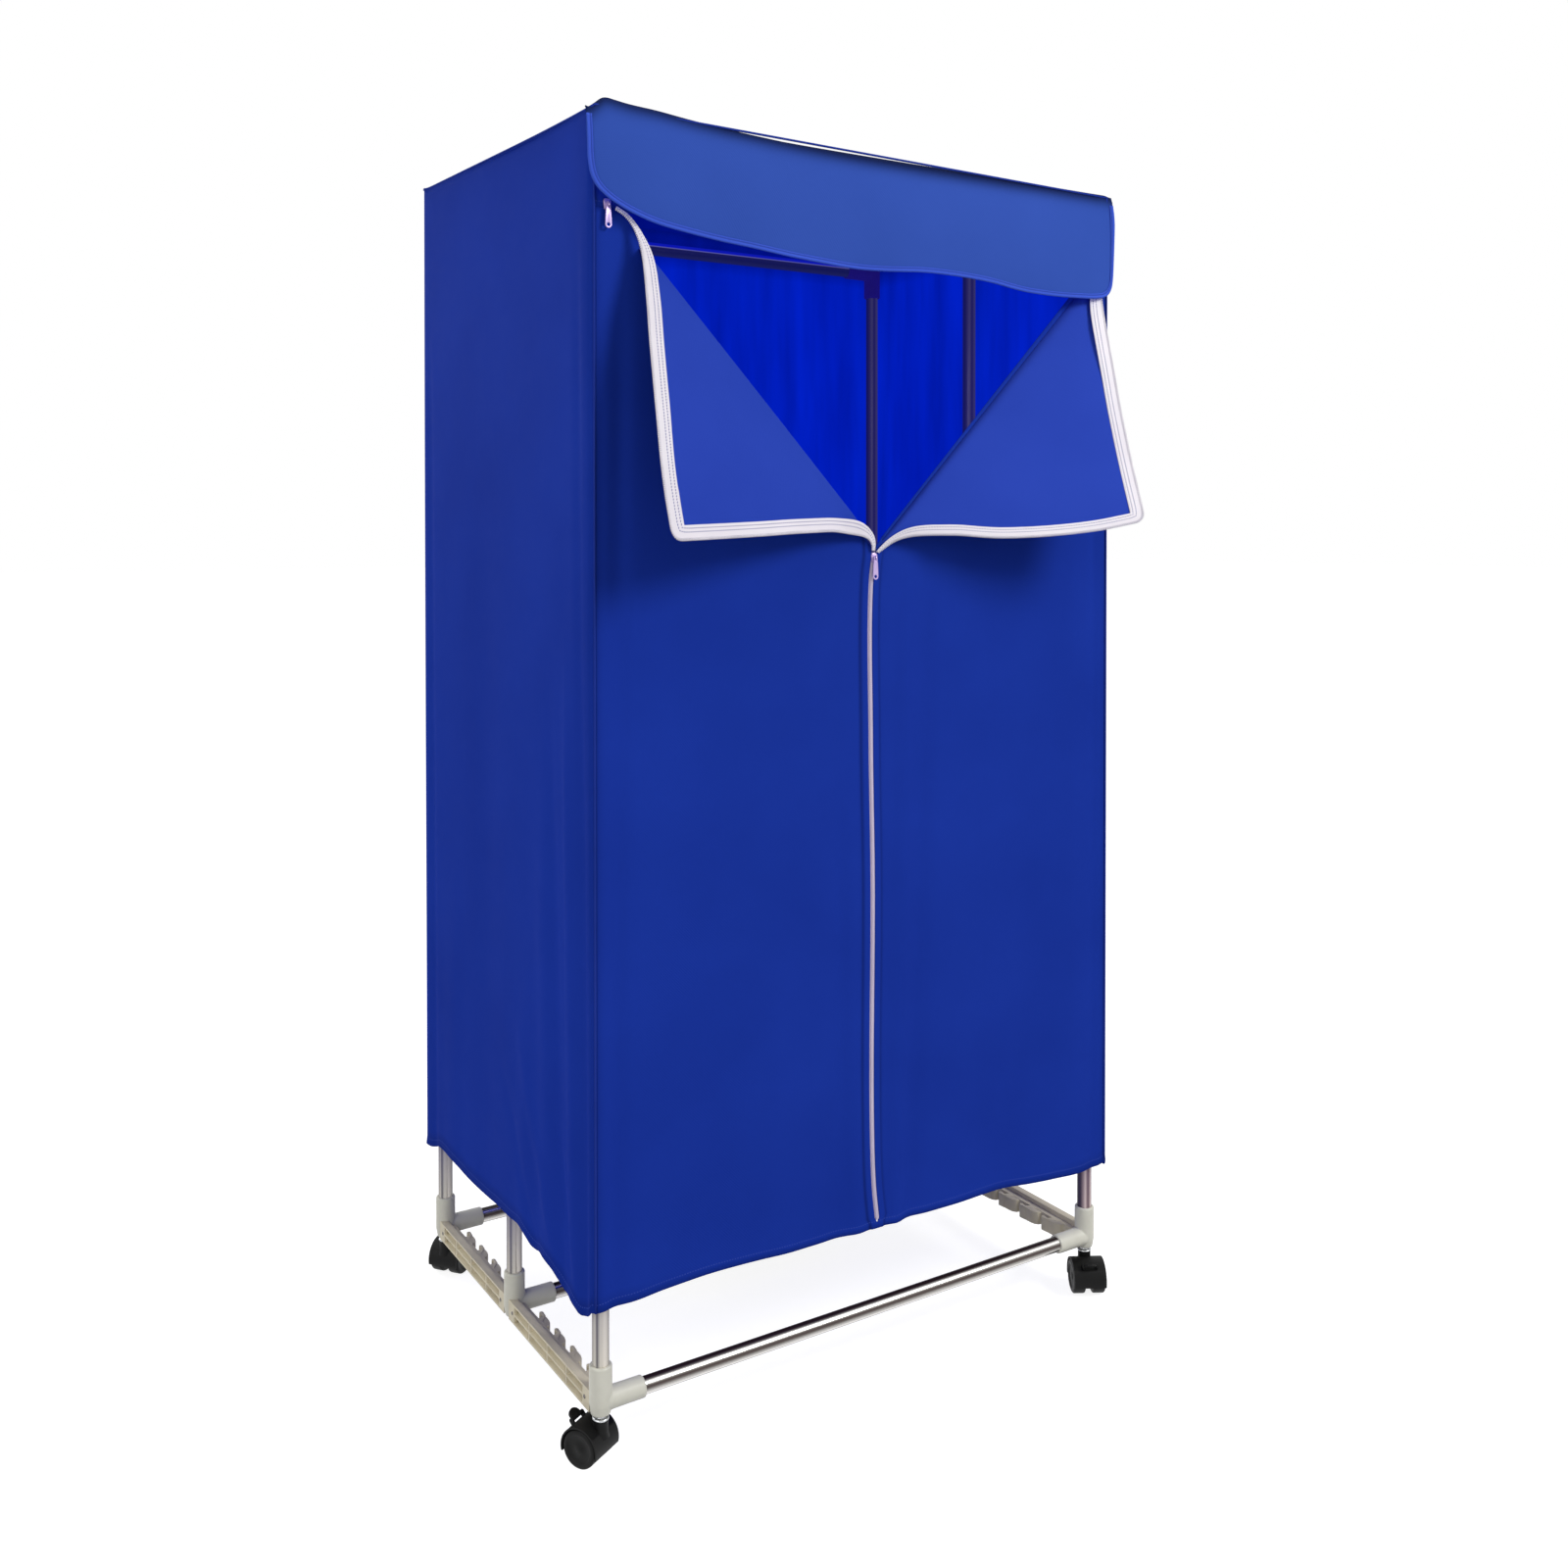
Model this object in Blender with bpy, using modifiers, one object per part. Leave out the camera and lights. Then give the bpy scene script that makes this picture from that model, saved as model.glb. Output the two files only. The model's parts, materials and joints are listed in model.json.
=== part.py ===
"""Portable clothes dryer: a knock-down tube frame on casters, a zipped cloth cover and a fan heater.

Metres, +Z up, +X to the right, the front at -Y. The pieces hang on an empty that stands on the floor
under the middle post row. It is moved back by half of what the open flaps reach forward, so that the
origin is at the middle of the whole object's box.
"""

import math

import bmesh
import bpy
import numpy as np
from mathutils import Matrix, Vector

for old in list(bpy.data.objects):
    bpy.data.objects.remove(old, do_unlink=True)

# Shared clearances
SEAT_GAP = 0.0003           # between pieces that touch
OVERRUN = 0.002             # how far a cutter runs past the face it opens
LAP = 0.001                 # how far joined shapes run into each other

# Frame grid and tubes
SIDE_SPACING = 0.7154       # left to right, between post axes
ROW_SPACING = 0.2446        # front to middle row, and middle to rear row
TUBE_R = 0.0095
TUBE_WALL = 0.0008
TUBE_STEPS = 16
SLEEVE_STEPS = 16
ROUND_STEPS = 20

# Connectors
SLEEVE_R = 0.0127
SLEEVE_FOOT_Z = 0.055
BASE_SLEEVE_LENGTH = 0.054
TOP_SLEEVE_LENGTH = 0.070
SLEEVE_TAPER = 0.002        # the closed end draws in by this
SLEEVE_TAPER_LENGTH = 0.009
SLEEVE_CHAMFER = 0.0012
SOCKET_R = 0.01185
SOCKET_REACH = 0.051        # from the post axis to the socket's mouth
SOCKET_FLOOR = 0.0138       # from the post axis to the end of the rail
BASE_RAIL_RISE = 0.014      # from the closed end of the sleeve to the rail's axis
TOP_RAIL_DROP = 0.030
SEAT_WALL = 0.003           # between the rail's bore and the end of the post
STEM_BORE_R = 0.0043
STEM_BORE_DEPTH = 0.021

# Toothed side bars
BEAM_OUT = 0.0105           # from the post axes out to the bar's face
BEAM_DEPTH = 0.010
BEAM_HEIGHT = 0.024
LEDGE_REACH = 0.0075        # from the post axes in to the foot of the teeth
LEDGE_HEIGHT = 0.018
TOOTH_REACH = 0.018
TOOTH_PITCH = 0.0447
TOOTH_COUNT = 4
TOOTH_START = 0.0465        # from a post axis to the first tooth's round end
TOOTH_ROUND_R = 0.0026
TOOTH_BACK = 0.0042         # thickness of the tooth's arm
TOOTH_FLAT = 0.010
TOOTH_SLOPE = 0.021
POCKET_COLUMNS = 4
POCKET_ROW_COUNT = 2
TOP_POCKET_COLUMNS = 4
TOP_TOOTH_COUNT = 2
POCKET_DEPTH = 0.0075
POCKET_RIB = 0.0022

# Cloth cover
ROOF_Z = 1.462
COVER_OVERHANG = 0.0205     # from the post axes out to the cloth's face
CLOTH = 0.0012
HEM_Z = 0.182
HEM_WAVE = 0.006
FOLD_DEPTH = 0.0055
ROOF_SAG = 0.004
ZIP_X = -0.008              # the middle zip hangs a little left of the middle
ZIP_LINE_DROP = 0.1035      # from the roof to the zip along the top of the front
MOUTH_Z = 0.995             # where the middle zip is open down to
MOUTH_MARGIN = 0.0262       # from the side walls to the outer ends of the open mouth

# Flaps, folded out along the slanting sides of the mouth
FLAP_ANGLE = math.radians(152)
FLAP_FOLD_R = 0.010
FLAP_STARTS = {"left": 0.042, "right": 0.084}    # along the fold, from the mouth's outer end
FLAP_END_SHARE = 0.97       # of the sheet's height: the free corner is blunt
FLAP_ROW_POWER = 1.5
FLAP_CURL_STEPS = 400
VALANCE_LIP = 0.018         # how far the valance's lower edge stands off the front
VALANCE_SLOPE_SHARE = 0.22  # of its depth, the most that the lip may be where it is short

# Zip
CHAIN_WIDTH = 0.006
CHAIN_THICKNESS = 0.0024
SLIDER_WIDTH = 0.0088
SLIDER_LENGTH = 0.0112
SLIDER_THICKNESS = 0.0022
SLIDER_DROP = 0.011         # from the open mouth's lowest point to the middle slider
SIDE_SLIDER_OUT = 0.0065    # past the mouth's outer end
SIDE_SLIDER_RISE = 0.006    # above the zip line
LUG_WIDTH = 0.0020
LUG_R = 0.0021
LUG_EYE_R = 0.0012
PULL_BAR_R = 0.0008
PULL_WIDTH = 0.0076
PULL_LENGTH = 0.026
PULL_THICKNESS = 0.0014
PULL_SLOT = 0.0030
PULL_HOLE_R = 0.0021

# Casters
WHEEL_R = 0.021
TRAIL = 0.0145
WEB_HALF = 0.0045
WHEEL_INNER = 0.0055        # from the middle of the caster to a wheel's inner face
WHEEL_OUTER = 0.0213
WHEEL_ROUND = 0.0022
WHEEL_DISH = 0.0010
AXLE_R = 0.0030
HOOD_R = 0.0238
HOOD_CLEARANCE = 0.0010
HOOD_DROP = 0.006           # how far the hood reaches below the axle
BOSS_R = 0.0082
BOSS_TOP_Z = 0.0495
BOSS_FOOT_Z = 0.030
COLLAR_R = 0.0058
STEM_R = 0.0040
STEM_END_GAP = 0.0012
LEVER_BACK = 0.0175         # from the axle to the lever's pivot
LEVER_UP = 0.0215
LEVER_BARREL_R = 0.0020
LEVER_PIN_R = 0.0010
LEVER_HALF = 0.0080
LEVER_EAR = 0.0022
LEVER_EAR_R = 0.0026
LEVER_LENGTH = 0.0100
LEVER_THICKNESS = 0.0026
LEVER_TILT = math.radians(32)

# Fan heater, which stands on the middle and rear base rails
HEATER_WIDTH = 0.280
HEATER_HEIGHT = 0.108
HEATER_PAST_RAIL = 0.012    # how far the housing reaches past each rail's axis
HEATER_CORNER_R = 0.040
HEATER_WALL = 0.003
HEATER_SADDLE = 0.004       # depth of the cradles that sit on the rails
HEATER_SADDLE_HALF = 0.010
GRILLE_THICKNESS = 0.004
GRILLE_SLOTS = 7
GRILLE_RIB = 0.0090
GRILLE_MARGIN = 0.022
FAN_R = 0.078
FAN_HUB_R = 0.020
FAN_HEIGHT = 0.016
FAN_BLADES = 7
FAN_BLADE = 0.0022
FAN_RISE = 0.030            # from the housing's floor to the fan's hub
FAN_BORE_R = 0.0033
MOTOR_R = 0.024
SHAFT_R = 0.0030
ELEMENT_WIDTH = 0.060
ELEMENT_HEIGHT = 0.018
ELEMENT_RISE = 0.066
ELEMENT_SLOTS = 14
ELEMENT_FIN = 0.0030
ELEMENT_RIM = 0.005
LEDGE_LENGTH = 0.010
KNOB_R = 0.017
KNOB_LENGTH = 0.015
KNOB_SHAFT_R = 0.0030
KNOB_RIDGE = 0.004
INTAKE_SLOTS = 6
INTAKE_SLOT = 0.005
INTAKE_PITCH = 0.018
INTAKE_HEIGHT = 0.045
INLET_R = 0.008
INLET_LENGTH = 0.006

# Sizes that follow from those above
SIDES = {"left": -1, "right": 1}
ROWS = {"front": -1, "middle": 0, "rear": 1}
POST_X = SIDE_SPACING / 2
COVER_X = POST_X + COVER_OVERHANG
COVER_Y = ROW_SPACING + COVER_OVERHANG
TOP_Z = ROOF_Z - CLOTH - SEAT_GAP
BASE_RAIL_Z = SLEEVE_FOOT_Z + BASE_RAIL_RISE
TOP_RAIL_Z = TOP_Z - TOP_RAIL_DROP
BORE_R = TUBE_R + SEAT_GAP
BASE_POST_SEAT = BASE_RAIL_RISE + BORE_R + SEAT_WALL
TOP_POST_SEAT = TOP_RAIL_DROP + BORE_R + SEAT_WALL
HEATER_FLOOR_Z = BASE_RAIL_Z + BORE_R + HEATER_SADDLE
HEATER_Y = ROW_SPACING / 2
HEATER_DEPTH = ROW_SPACING + 2 * HEATER_PAST_RAIL
HEATER_TOP_Z = HEATER_FLOOR_Z + HEATER_HEIGHT
ZIP_LINE_Z = ROOF_Z - ZIP_LINE_DROP
MOUTH_SIDE = COVER_X - MOUTH_MARGIN
FLAP_DROP = ZIP_LINE_Z - LAP - MOUTH_Z
SLIDER_Z = MOUTH_Z - SLIDER_DROP
SIDE_SLIDER_X = MOUTH_SIDE + SIDE_SLIDER_OUT
SIDE_SLIDER_Z = ZIP_LINE_Z + SIDE_SLIDER_RISE

# Where each caster has come to rest: the way its wheels trail, turned about Z from +Y
CASTER_TURNS = {
    ("left", "front"): math.radians(29),
    ("right", "front"): math.radians(150),
    ("left", "rear"): math.radians(-52),
    ("right", "rear"): math.radians(-20),
}

# How far the flaps reach in front of the cover, and the casters behind it
REAR_TURN = abs(CASTER_TURNS["right", "rear"])
FLAP_HEIGHT = MOUTH_SIDE * FLAP_DROP / math.hypot(MOUTH_SIDE, FLAP_DROP)
FLAP_REACH = FLAP_END_SHARE * FLAP_HEIGHT * math.sin(FLAP_ANGLE) + FLAP_FOLD_R / 2
CASTER_REACH = (TRAIL + HOOD_R) * math.cos(REAR_TURN) + WHEEL_OUTER * math.sin(REAR_TURN) - COVER_OVERHANG
ORIGIN_Y = (FLAP_REACH - CASTER_REACH) / 2

PARTS = bpy.data.collections.new("portable_clothes_dryer")
CUTTERS = bpy.data.collections.new("cutters")
bpy.context.scene.collection.children.link(PARTS)
bpy.context.scene.collection.children.link(CUTTERS)

ROOT = bpy.data.objects.new("dryer_origin", None)
ROOT.location = (0, ORIGIN_Y, 0)
PARTS.objects.link(ROOT)


def material(name, colour, roughness, metallic=0.0):
    made = bpy.data.materials.new(name)
    made.use_nodes = True
    shader = made.node_tree.nodes["Principled BSDF"]
    shader.inputs["Base Color"].default_value = (*colour, 1)
    shader.inputs["Roughness"].default_value = roughness
    shader.inputs["Metallic"].default_value = metallic
    return made


MATERIALS = {
    "tube": ((0.72, 0.70, 0.69), 0.18, 1.0),
    "connector": ((0.60, 0.60, 0.55), 0.45, 0.0),
    "bar": ((0.62, 0.58, 0.50), 0.5, 0.0),
    "caster": ((0.012, 0.012, 0.012), 0.5, 0.0),
    "cloth": ((0.012, 0.035, 0.30), 0.7, 0.0),
    "lining": ((0.030, 0.070, 0.42), 0.7, 0.0),
    "zip": ((0.72, 0.66, 0.78), 0.5, 0.0),
    "pull": ((0.60, 0.52, 0.72), 0.3, 1.0),
    "heater": ((0.62, 0.62, 0.60), 0.4, 0.0),
    "dark": ((0.03, 0.03, 0.035), 0.5, 0.0),
    "element": ((0.35, 0.35, 0.36), 0.4, 1.0),
}
MATERIALS = {name: material(name, *values) for name, values in MATERIALS.items()}


def add(name, mesh, look=None, where=(0, 0, 0), turn=(0, 0, 0), parent=None):
    """An object of this mesh. With a look it is a piece of the dryer, and without one a hidden helper."""
    obj = bpy.data.objects.new(name, mesh)
    obj.location = where
    obj.rotation_euler = turn
    obj.parent = parent or ROOT
    if look is None:
        obj.hide_render = True
        obj.display_type = "WIRE"
        CUTTERS.objects.link(obj)
    else:
        mesh.materials.clear()
        mesh.materials.append(MATERIALS[look].copy())
        PARTS.objects.link(obj)
    return obj


def smooth(mesh, degrees=35):
    mesh.shade_smooth()
    mesh.set_sharp_from_angle(angle=math.radians(degrees))
    return mesh


def mesh_of(build, name="shape"):
    """A mesh filled by build(bm), with its faces turned outwards."""
    bm = bmesh.new()
    build(bm)
    bmesh.ops.recalc_face_normals(bm, faces=bm.faces)
    mesh = bpy.data.meshes.new(name)
    bm.to_mesh(mesh)
    bm.free()
    return mesh


def box_mesh(low, high):
    size = Vector(high) - Vector(low)
    middle = (Vector(high) + Vector(low)) / 2
    matrix = Matrix.Translation(middle) @ Matrix.Diagonal((*size, 1))
    return mesh_of(lambda bm: bmesh.ops.create_cube(bm, size=1, matrix=matrix))


def boxes_mesh(corners):
    def build(bm):
        for low, high in corners:
            size = Vector(high) - Vector(low)
            middle = (Vector(high) + Vector(low)) / 2
            matrix = Matrix.Translation(middle) @ Matrix.Diagonal((*size, 1))
            bmesh.ops.create_cube(bm, size=1, matrix=matrix)
    return mesh_of(build)


def drum_mesh(radius, start, end, steps=TUBE_STEPS):
    """A cylinder between two points."""
    along = Vector(end) - Vector(start)
    turn = along.to_track_quat("Z", "Y").to_matrix().to_4x4()
    matrix = Matrix.Translation((Vector(start) + Vector(end)) / 2) @ turn

    def build(bm):
        bmesh.ops.create_cone(
            bm, cap_ends=True, segments=steps, radius1=radius, radius2=radius,
            depth=along.length, matrix=matrix,
        )
    return smooth(mesh_of(build))


def evaluated_mesh(obj):
    """The mesh that an object's modifiers or curve give, with its seams welded."""
    bpy.context.view_layer.update()
    found = bpy.data.meshes.new_from_object(obj.evaluated_get(bpy.context.evaluated_depsgraph_get()))
    bm = bmesh.new()
    bm.from_mesh(found)
    bmesh.ops.remove_doubles(bm, verts=bm.verts, dist=SEAT_GAP / 100)
    bmesh.ops.recalc_face_normals(bm, faces=bm.faces)
    bm.to_mesh(found)
    bm.free()
    bpy.data.objects.remove(obj, do_unlink=True)
    return found


def turned_mesh(profile, steps=TUBE_STEPS, closed=False):
    """A profile of (radius, height) points turned about Z. A closed profile makes a ring."""
    count = len(profile)
    edges = [(i, i + 1) for i in range(count - 1)] + ([(count - 1, 0)] if closed else [])
    mesh = bpy.data.meshes.new("profile")
    mesh.from_pydata([(radius, 0, height) for radius, height in profile], edges, [])
    obj = bpy.data.objects.new("profile", mesh)
    CUTTERS.objects.link(obj)
    screw = obj.modifiers.new("turn", "SCREW")
    screw.steps = screw.render_steps = steps
    screw.use_merge_vertices = True
    screw.merge_threshold = SEAT_GAP / 100
    return smooth(evaluated_mesh(obj))


def flat_mesh(outlines, low, high):
    """Outlines in the XY plane, the first one outside and any others holes in it, from low to high in Z."""
    curve = bpy.data.curves.new("outline", "CURVE")
    curve.dimensions = "2D"
    curve.fill_mode = "BOTH"
    curve.extrude = (high - low) / 2
    for points in outlines:
        spline = curve.splines.new("POLY")
        spline.points.add(len(points) - 1)
        spline.use_cyclic_u = True
        for point, (x, y) in zip(spline.points, points):
            point.co = (x, y, 0, 1)
    obj = bpy.data.objects.new("outline", curve)
    CUTTERS.objects.link(obj)
    mesh = evaluated_mesh(obj)
    mesh.transform(Matrix.Translation((0, 0, (low + high) / 2)))
    return mesh


def together(meshes):
    """One mesh of several that don't touch."""
    bm = bmesh.new()
    for mesh in meshes:
        bm.from_mesh(mesh)
    made = bpy.data.meshes.new("shapes")
    bm.to_mesh(made)
    bm.free()
    return made


def cut(obj, mesh, name="cut"):
    """Cuts a shape, given in the object's own space, out of the object."""
    cutter = add(f"{obj.name}_{name}", mesh, parent=obj)
    modifier = obj.modifiers.new(name, "BOOLEAN")
    modifier.operation = "DIFFERENCE"
    modifier.solver = "EXACT"
    modifier.object = cutter


def join(obj, mesh, name="join"):
    """Joins a shape, given in the object's own space, to the object."""
    other = add(f"{obj.name}_{name}", mesh, parent=obj)
    modifier = obj.modifiers.new(name, "BOOLEAN")
    modifier.operation = "UNION"
    modifier.solver = "EXACT"
    modifier.object = other


def arc(centre, radius, start, end, count):
    """Points on an arc, from one angle to another in degrees."""
    angles = np.radians(np.linspace(start, end, count))
    return [(centre[0] + radius * math.cos(a), centre[1] + radius * math.sin(a)) for a in angles]


def rounded_rectangle(width, depth, radius, count=5):
    x, y = width / 2 - radius, depth / 2 - radius
    return (
        arc((x, y), radius, 0, 90, count) + arc((-x, y), radius, 90, 180, count)
        + arc((-x, -y), radius, 180, 270, count) + arc((x, -y), radius, 270, 360, count)
    )


# Tubes


def tube(name, start, end):
    """A hollow tube between two points, open at both ends."""
    length = (Vector(end) - Vector(start)).length
    ring = [
        (TUBE_R, length), (TUBE_R, 0), (TUBE_R - TUBE_WALL, 0), (TUBE_R - TUBE_WALL, length),
    ]
    turn = (Vector(end) - Vector(start)).to_track_quat("Z", "Y").to_euler()
    return add(name, turned_mesh(ring, closed=True), "tube", start, turn)


def build_tubes():
    post_low = SLEEVE_FOOT_Z + BASE_POST_SEAT + SEAT_GAP
    post_high = TOP_Z - TOP_POST_SEAT - SEAT_GAP
    for row, y_step in ROWS.items():
        y = y_step * ROW_SPACING
        for side, x_sign in SIDES.items():
            x = x_sign * POST_X
            tube(f"post_{row}_{side}", (x, y, post_low), (x, y, post_high))
        rail_end = POST_X - SOCKET_FLOOR - SEAT_GAP
        for kind, z in (("base_rail", BASE_RAIL_Z), ("hanging_rail", TOP_RAIL_Z)):
            tube(f"{kind}_{row}", (-rail_end, y, z), (rail_end, y, z))


# Connectors: a sleeve for the post, closed at its outer end, and a socket for the rail


def sleeve_mesh(length):
    return turned_mesh([
        (0, length), (SLEEVE_R - SLEEVE_CHAMFER, length), (SLEEVE_R, length - SLEEVE_CHAMFER),
        (SLEEVE_R, SLEEVE_TAPER_LENGTH), (SLEEVE_R - SLEEVE_TAPER, 0), (0, 0),
    ], SLEEVE_STEPS)


def socket_mesh(x_sign, rise):
    profile = [
        (0, SOCKET_REACH), (SOCKET_R - SLEEVE_CHAMFER, SOCKET_REACH),
        (SOCKET_R, SOCKET_REACH - SLEEVE_CHAMFER), (SOCKET_R, 0), (0, 0),
    ]
    mesh = turned_mesh(profile)
    half_step = Matrix.Rotation(math.pi / TUBE_STEPS, 4, "Z")
    across = Matrix.Rotation(x_sign * math.pi / 2, 4, "Y")
    mesh.transform(Matrix.Translation((0, 0, rise)) @ across @ half_step)
    return mesh


def bores(x_sign, rise, length, post_seat, stem=False):
    """The bores for the post, the rail and, under a corner, the caster's stem, in the connector's space."""
    floor_x = x_sign * SOCKET_FLOOR
    mouth_x = x_sign * (SOCKET_REACH + OVERRUN)
    found = [
        drum_mesh(BORE_R, (0, 0, post_seat), (0, 0, length + OVERRUN)),
        drum_mesh(BORE_R, (floor_x, 0, rise), (mouth_x, 0, rise)),
    ]
    if stem:
        found.append(drum_mesh(STEM_BORE_R, (0, 0, -OVERRUN), (0, 0, STEM_BORE_DEPTH)))
    return together(found)


def build_connectors():
    for side, x_sign in SIDES.items():
        for row, y_step in ROWS.items():
            place = (x_sign * POST_X, y_step * ROW_SPACING, SLEEVE_FOOT_Z)
            base = add(f"base_connector_{row}_{side}", sleeve_mesh(BASE_SLEEVE_LENGTH), "connector", place)
            join(base, socket_mesh(-x_sign, BASE_RAIL_RISE), "socket")
            corner = row != "middle"
            holes = bores(-x_sign, BASE_RAIL_RISE, BASE_SLEEVE_LENGTH, BASE_POST_SEAT, corner)
            cut(base, holes, "bores")
        for row in ("front", "rear"):
            place = (x_sign * POST_X, ROWS[row] * ROW_SPACING, TOP_Z)
            upturned = (math.pi, 0, 0)
            sleeve = sleeve_mesh(TOP_SLEEVE_LENGTH)
            top = add(f"top_connector_{row}_{side}", sleeve, "connector", place, upturned)
            join(top, socket_mesh(-x_sign, TOP_RAIL_DROP), "socket")
            cut(top, bores(-x_sign, TOP_RAIL_DROP, TOP_SLEEVE_LENGTH, TOP_POST_SEAT), "bores")


# Side bars: a pocketed beam outside, and a row of hooked teeth that face the clothes


def comb_outline(inward, start, end, first_tooth, count):
    """Plan of the ledge and its teeth, from start to end along Y. Each tooth is an arm with a round end
    that hooks back towards the ledge, open to the rear."""
    arm = TOOTH_REACH - TOOTH_BACK
    tip = TOOTH_REACH - TOOTH_ROUND_R
    points = [(-LAP, start), (LEDGE_REACH, start)]
    for i in range(count):
        y = first_tooth + i * TOOTH_PITCH
        points += [(LEDGE_REACH, y - TOOTH_SLOPE), (TOOTH_REACH - LAP, y - TOOTH_FLAT)]
        points += arc((tip, y), TOOTH_ROUND_R, 0, 180, 5)
        points += [(arm, y - TOOTH_FLAT + TOOTH_ROUND_R), (LEDGE_REACH, y - TOOTH_FLAT)]
    points += [(LEDGE_REACH, end), (-LAP, end)]
    return [(inward * x, y) for x, y in points]


def side_bar(name, side, y_start, y_end, z_outer, up, teeth, columns, rows):
    """A bar between two post axes. z_outer is its outer edge: its bottom when up is 1, its top when -1."""
    inward = -SIDES[side]
    length = y_end - y_start
    heights = sorted((0, up * BEAM_HEIGHT))
    beam_x = sorted((-inward * BEAM_OUT, -inward * (BEAM_OUT - BEAM_DEPTH)))
    low = (beam_x[0], 0, heights[0])
    high = (beam_x[1], length, heights[1])
    bar = add(name, box_mesh(low, high), "bar", (SIDES[side] * POST_X, y_start, z_outer))
    clear = SLEEVE_R + SEAT_GAP + LAP
    ledge = sorted((0, up * LEDGE_HEIGHT))
    first_tooth = ROW_SPACING - TOOTH_START - (TOOTH_COUNT - 1) * TOOTH_PITCH
    comb = comb_outline(inward, clear, length - clear, first_tooth, teeth)
    join(bar, flat_mesh([comb], *ledge), "teeth")
    usable = length - 2 * (clear + POCKET_RIB)
    pitch = usable / columns
    row_height = (BEAM_HEIGHT - POCKET_RIB) / rows
    face_x = -inward * (BEAM_OUT + OVERRUN)
    back_x = -inward * (BEAM_OUT - POCKET_DEPTH)
    pockets = []
    for i in range(columns):
        for j in range(rows):
            y = clear + POCKET_RIB + i * pitch
            z = up * (POCKET_RIB + j * row_height)
            z_edges = sorted((z, z + up * (row_height - POCKET_RIB)))
            x_edges = sorted((face_x, back_x))
            y_far = y + pitch - POCKET_RIB
            pockets.append(((x_edges[0], y, z_edges[0]), (x_edges[1], y_far, z_edges[1])))
    cut(bar, boxes_mesh(pockets), "pockets")
    seat_r = SLEEVE_R + SEAT_GAP
    seat_low, seat_high = heights[0] - OVERRUN, heights[1] + OVERRUN
    seats = [drum_mesh(seat_r, (0, y, seat_low), (0, y, seat_high), SLEEVE_STEPS) for y in (0, length)]
    cut(bar, together(seats), "seats")
    return bar


def build_bars():
    for side, x_sign in SIDES.items():
        for part, y_start in (("front", -ROW_SPACING), ("rear", 0)):
            name = f"base_bar_{part}_{side}"
            y_end = y_start + ROW_SPACING
            counts = (TOOTH_COUNT, POCKET_COLUMNS, POCKET_ROW_COUNT)
            side_bar(name, side, y_start, y_end, SLEEVE_FOOT_Z, 1, *counts)
        # The top bar runs the whole depth, with the middle post's sleeve and socket moulded in
        name = f"top_bar_{side}"
        counts = (TOP_TOOTH_COUNT, TOP_POCKET_COLUMNS, 1)
        bar = side_bar(name, side, -ROW_SPACING, ROW_SPACING, TOP_Z, -1, *counts)
        centre = Matrix.Translation((0, ROW_SPACING, 0))
        upturned = Matrix.Rotation(math.pi, 4, "X")
        sleeve = sleeve_mesh(TOP_SLEEVE_LENGTH - LAP)
        sleeve.transform(centre @ upturned @ Matrix.Translation((0, 0, LAP)))
        join(bar, sleeve, "sleeve")
        socket = socket_mesh(-x_sign, TOP_RAIL_DROP)
        socket.transform(centre @ upturned)
        join(bar, socket, "socket")
        holes = bores(-x_sign, TOP_RAIL_DROP, TOP_SLEEVE_LENGTH, TOP_POST_SEAT)
        holes.transform(centre @ upturned)
        cut(bar, holes, "bores")


# Casters, each in its own space: the swivel's axis is Z, the wheels trail towards +Y and turn about X


def hood_mesh_pieces():
    reach = WHEEL_OUTER
    hood = drum_mesh(HOOD_R, (-reach, TRAIL, WHEEL_R), (reach, TRAIL, WHEEL_R), ROUND_STEPS)
    boss_top = SLEEVE_FOOT_Z - SEAT_GAP
    stem_top = SLEEVE_FOOT_Z + STEM_BORE_DEPTH - STEM_END_GAP
    boss = turned_mesh([
        (0, stem_top), (STEM_R, stem_top), (STEM_R, boss_top), (COLLAR_R, boss_top),
        (COLLAR_R, BOSS_TOP_Z), (BOSS_R - LAP, BOSS_TOP_Z), (BOSS_R, BOSS_TOP_Z - LAP),
        (BOSS_R, BOSS_FOOT_Z), (0, BOSS_FOOT_Z),
    ], 16)
    return hood, boss


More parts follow.
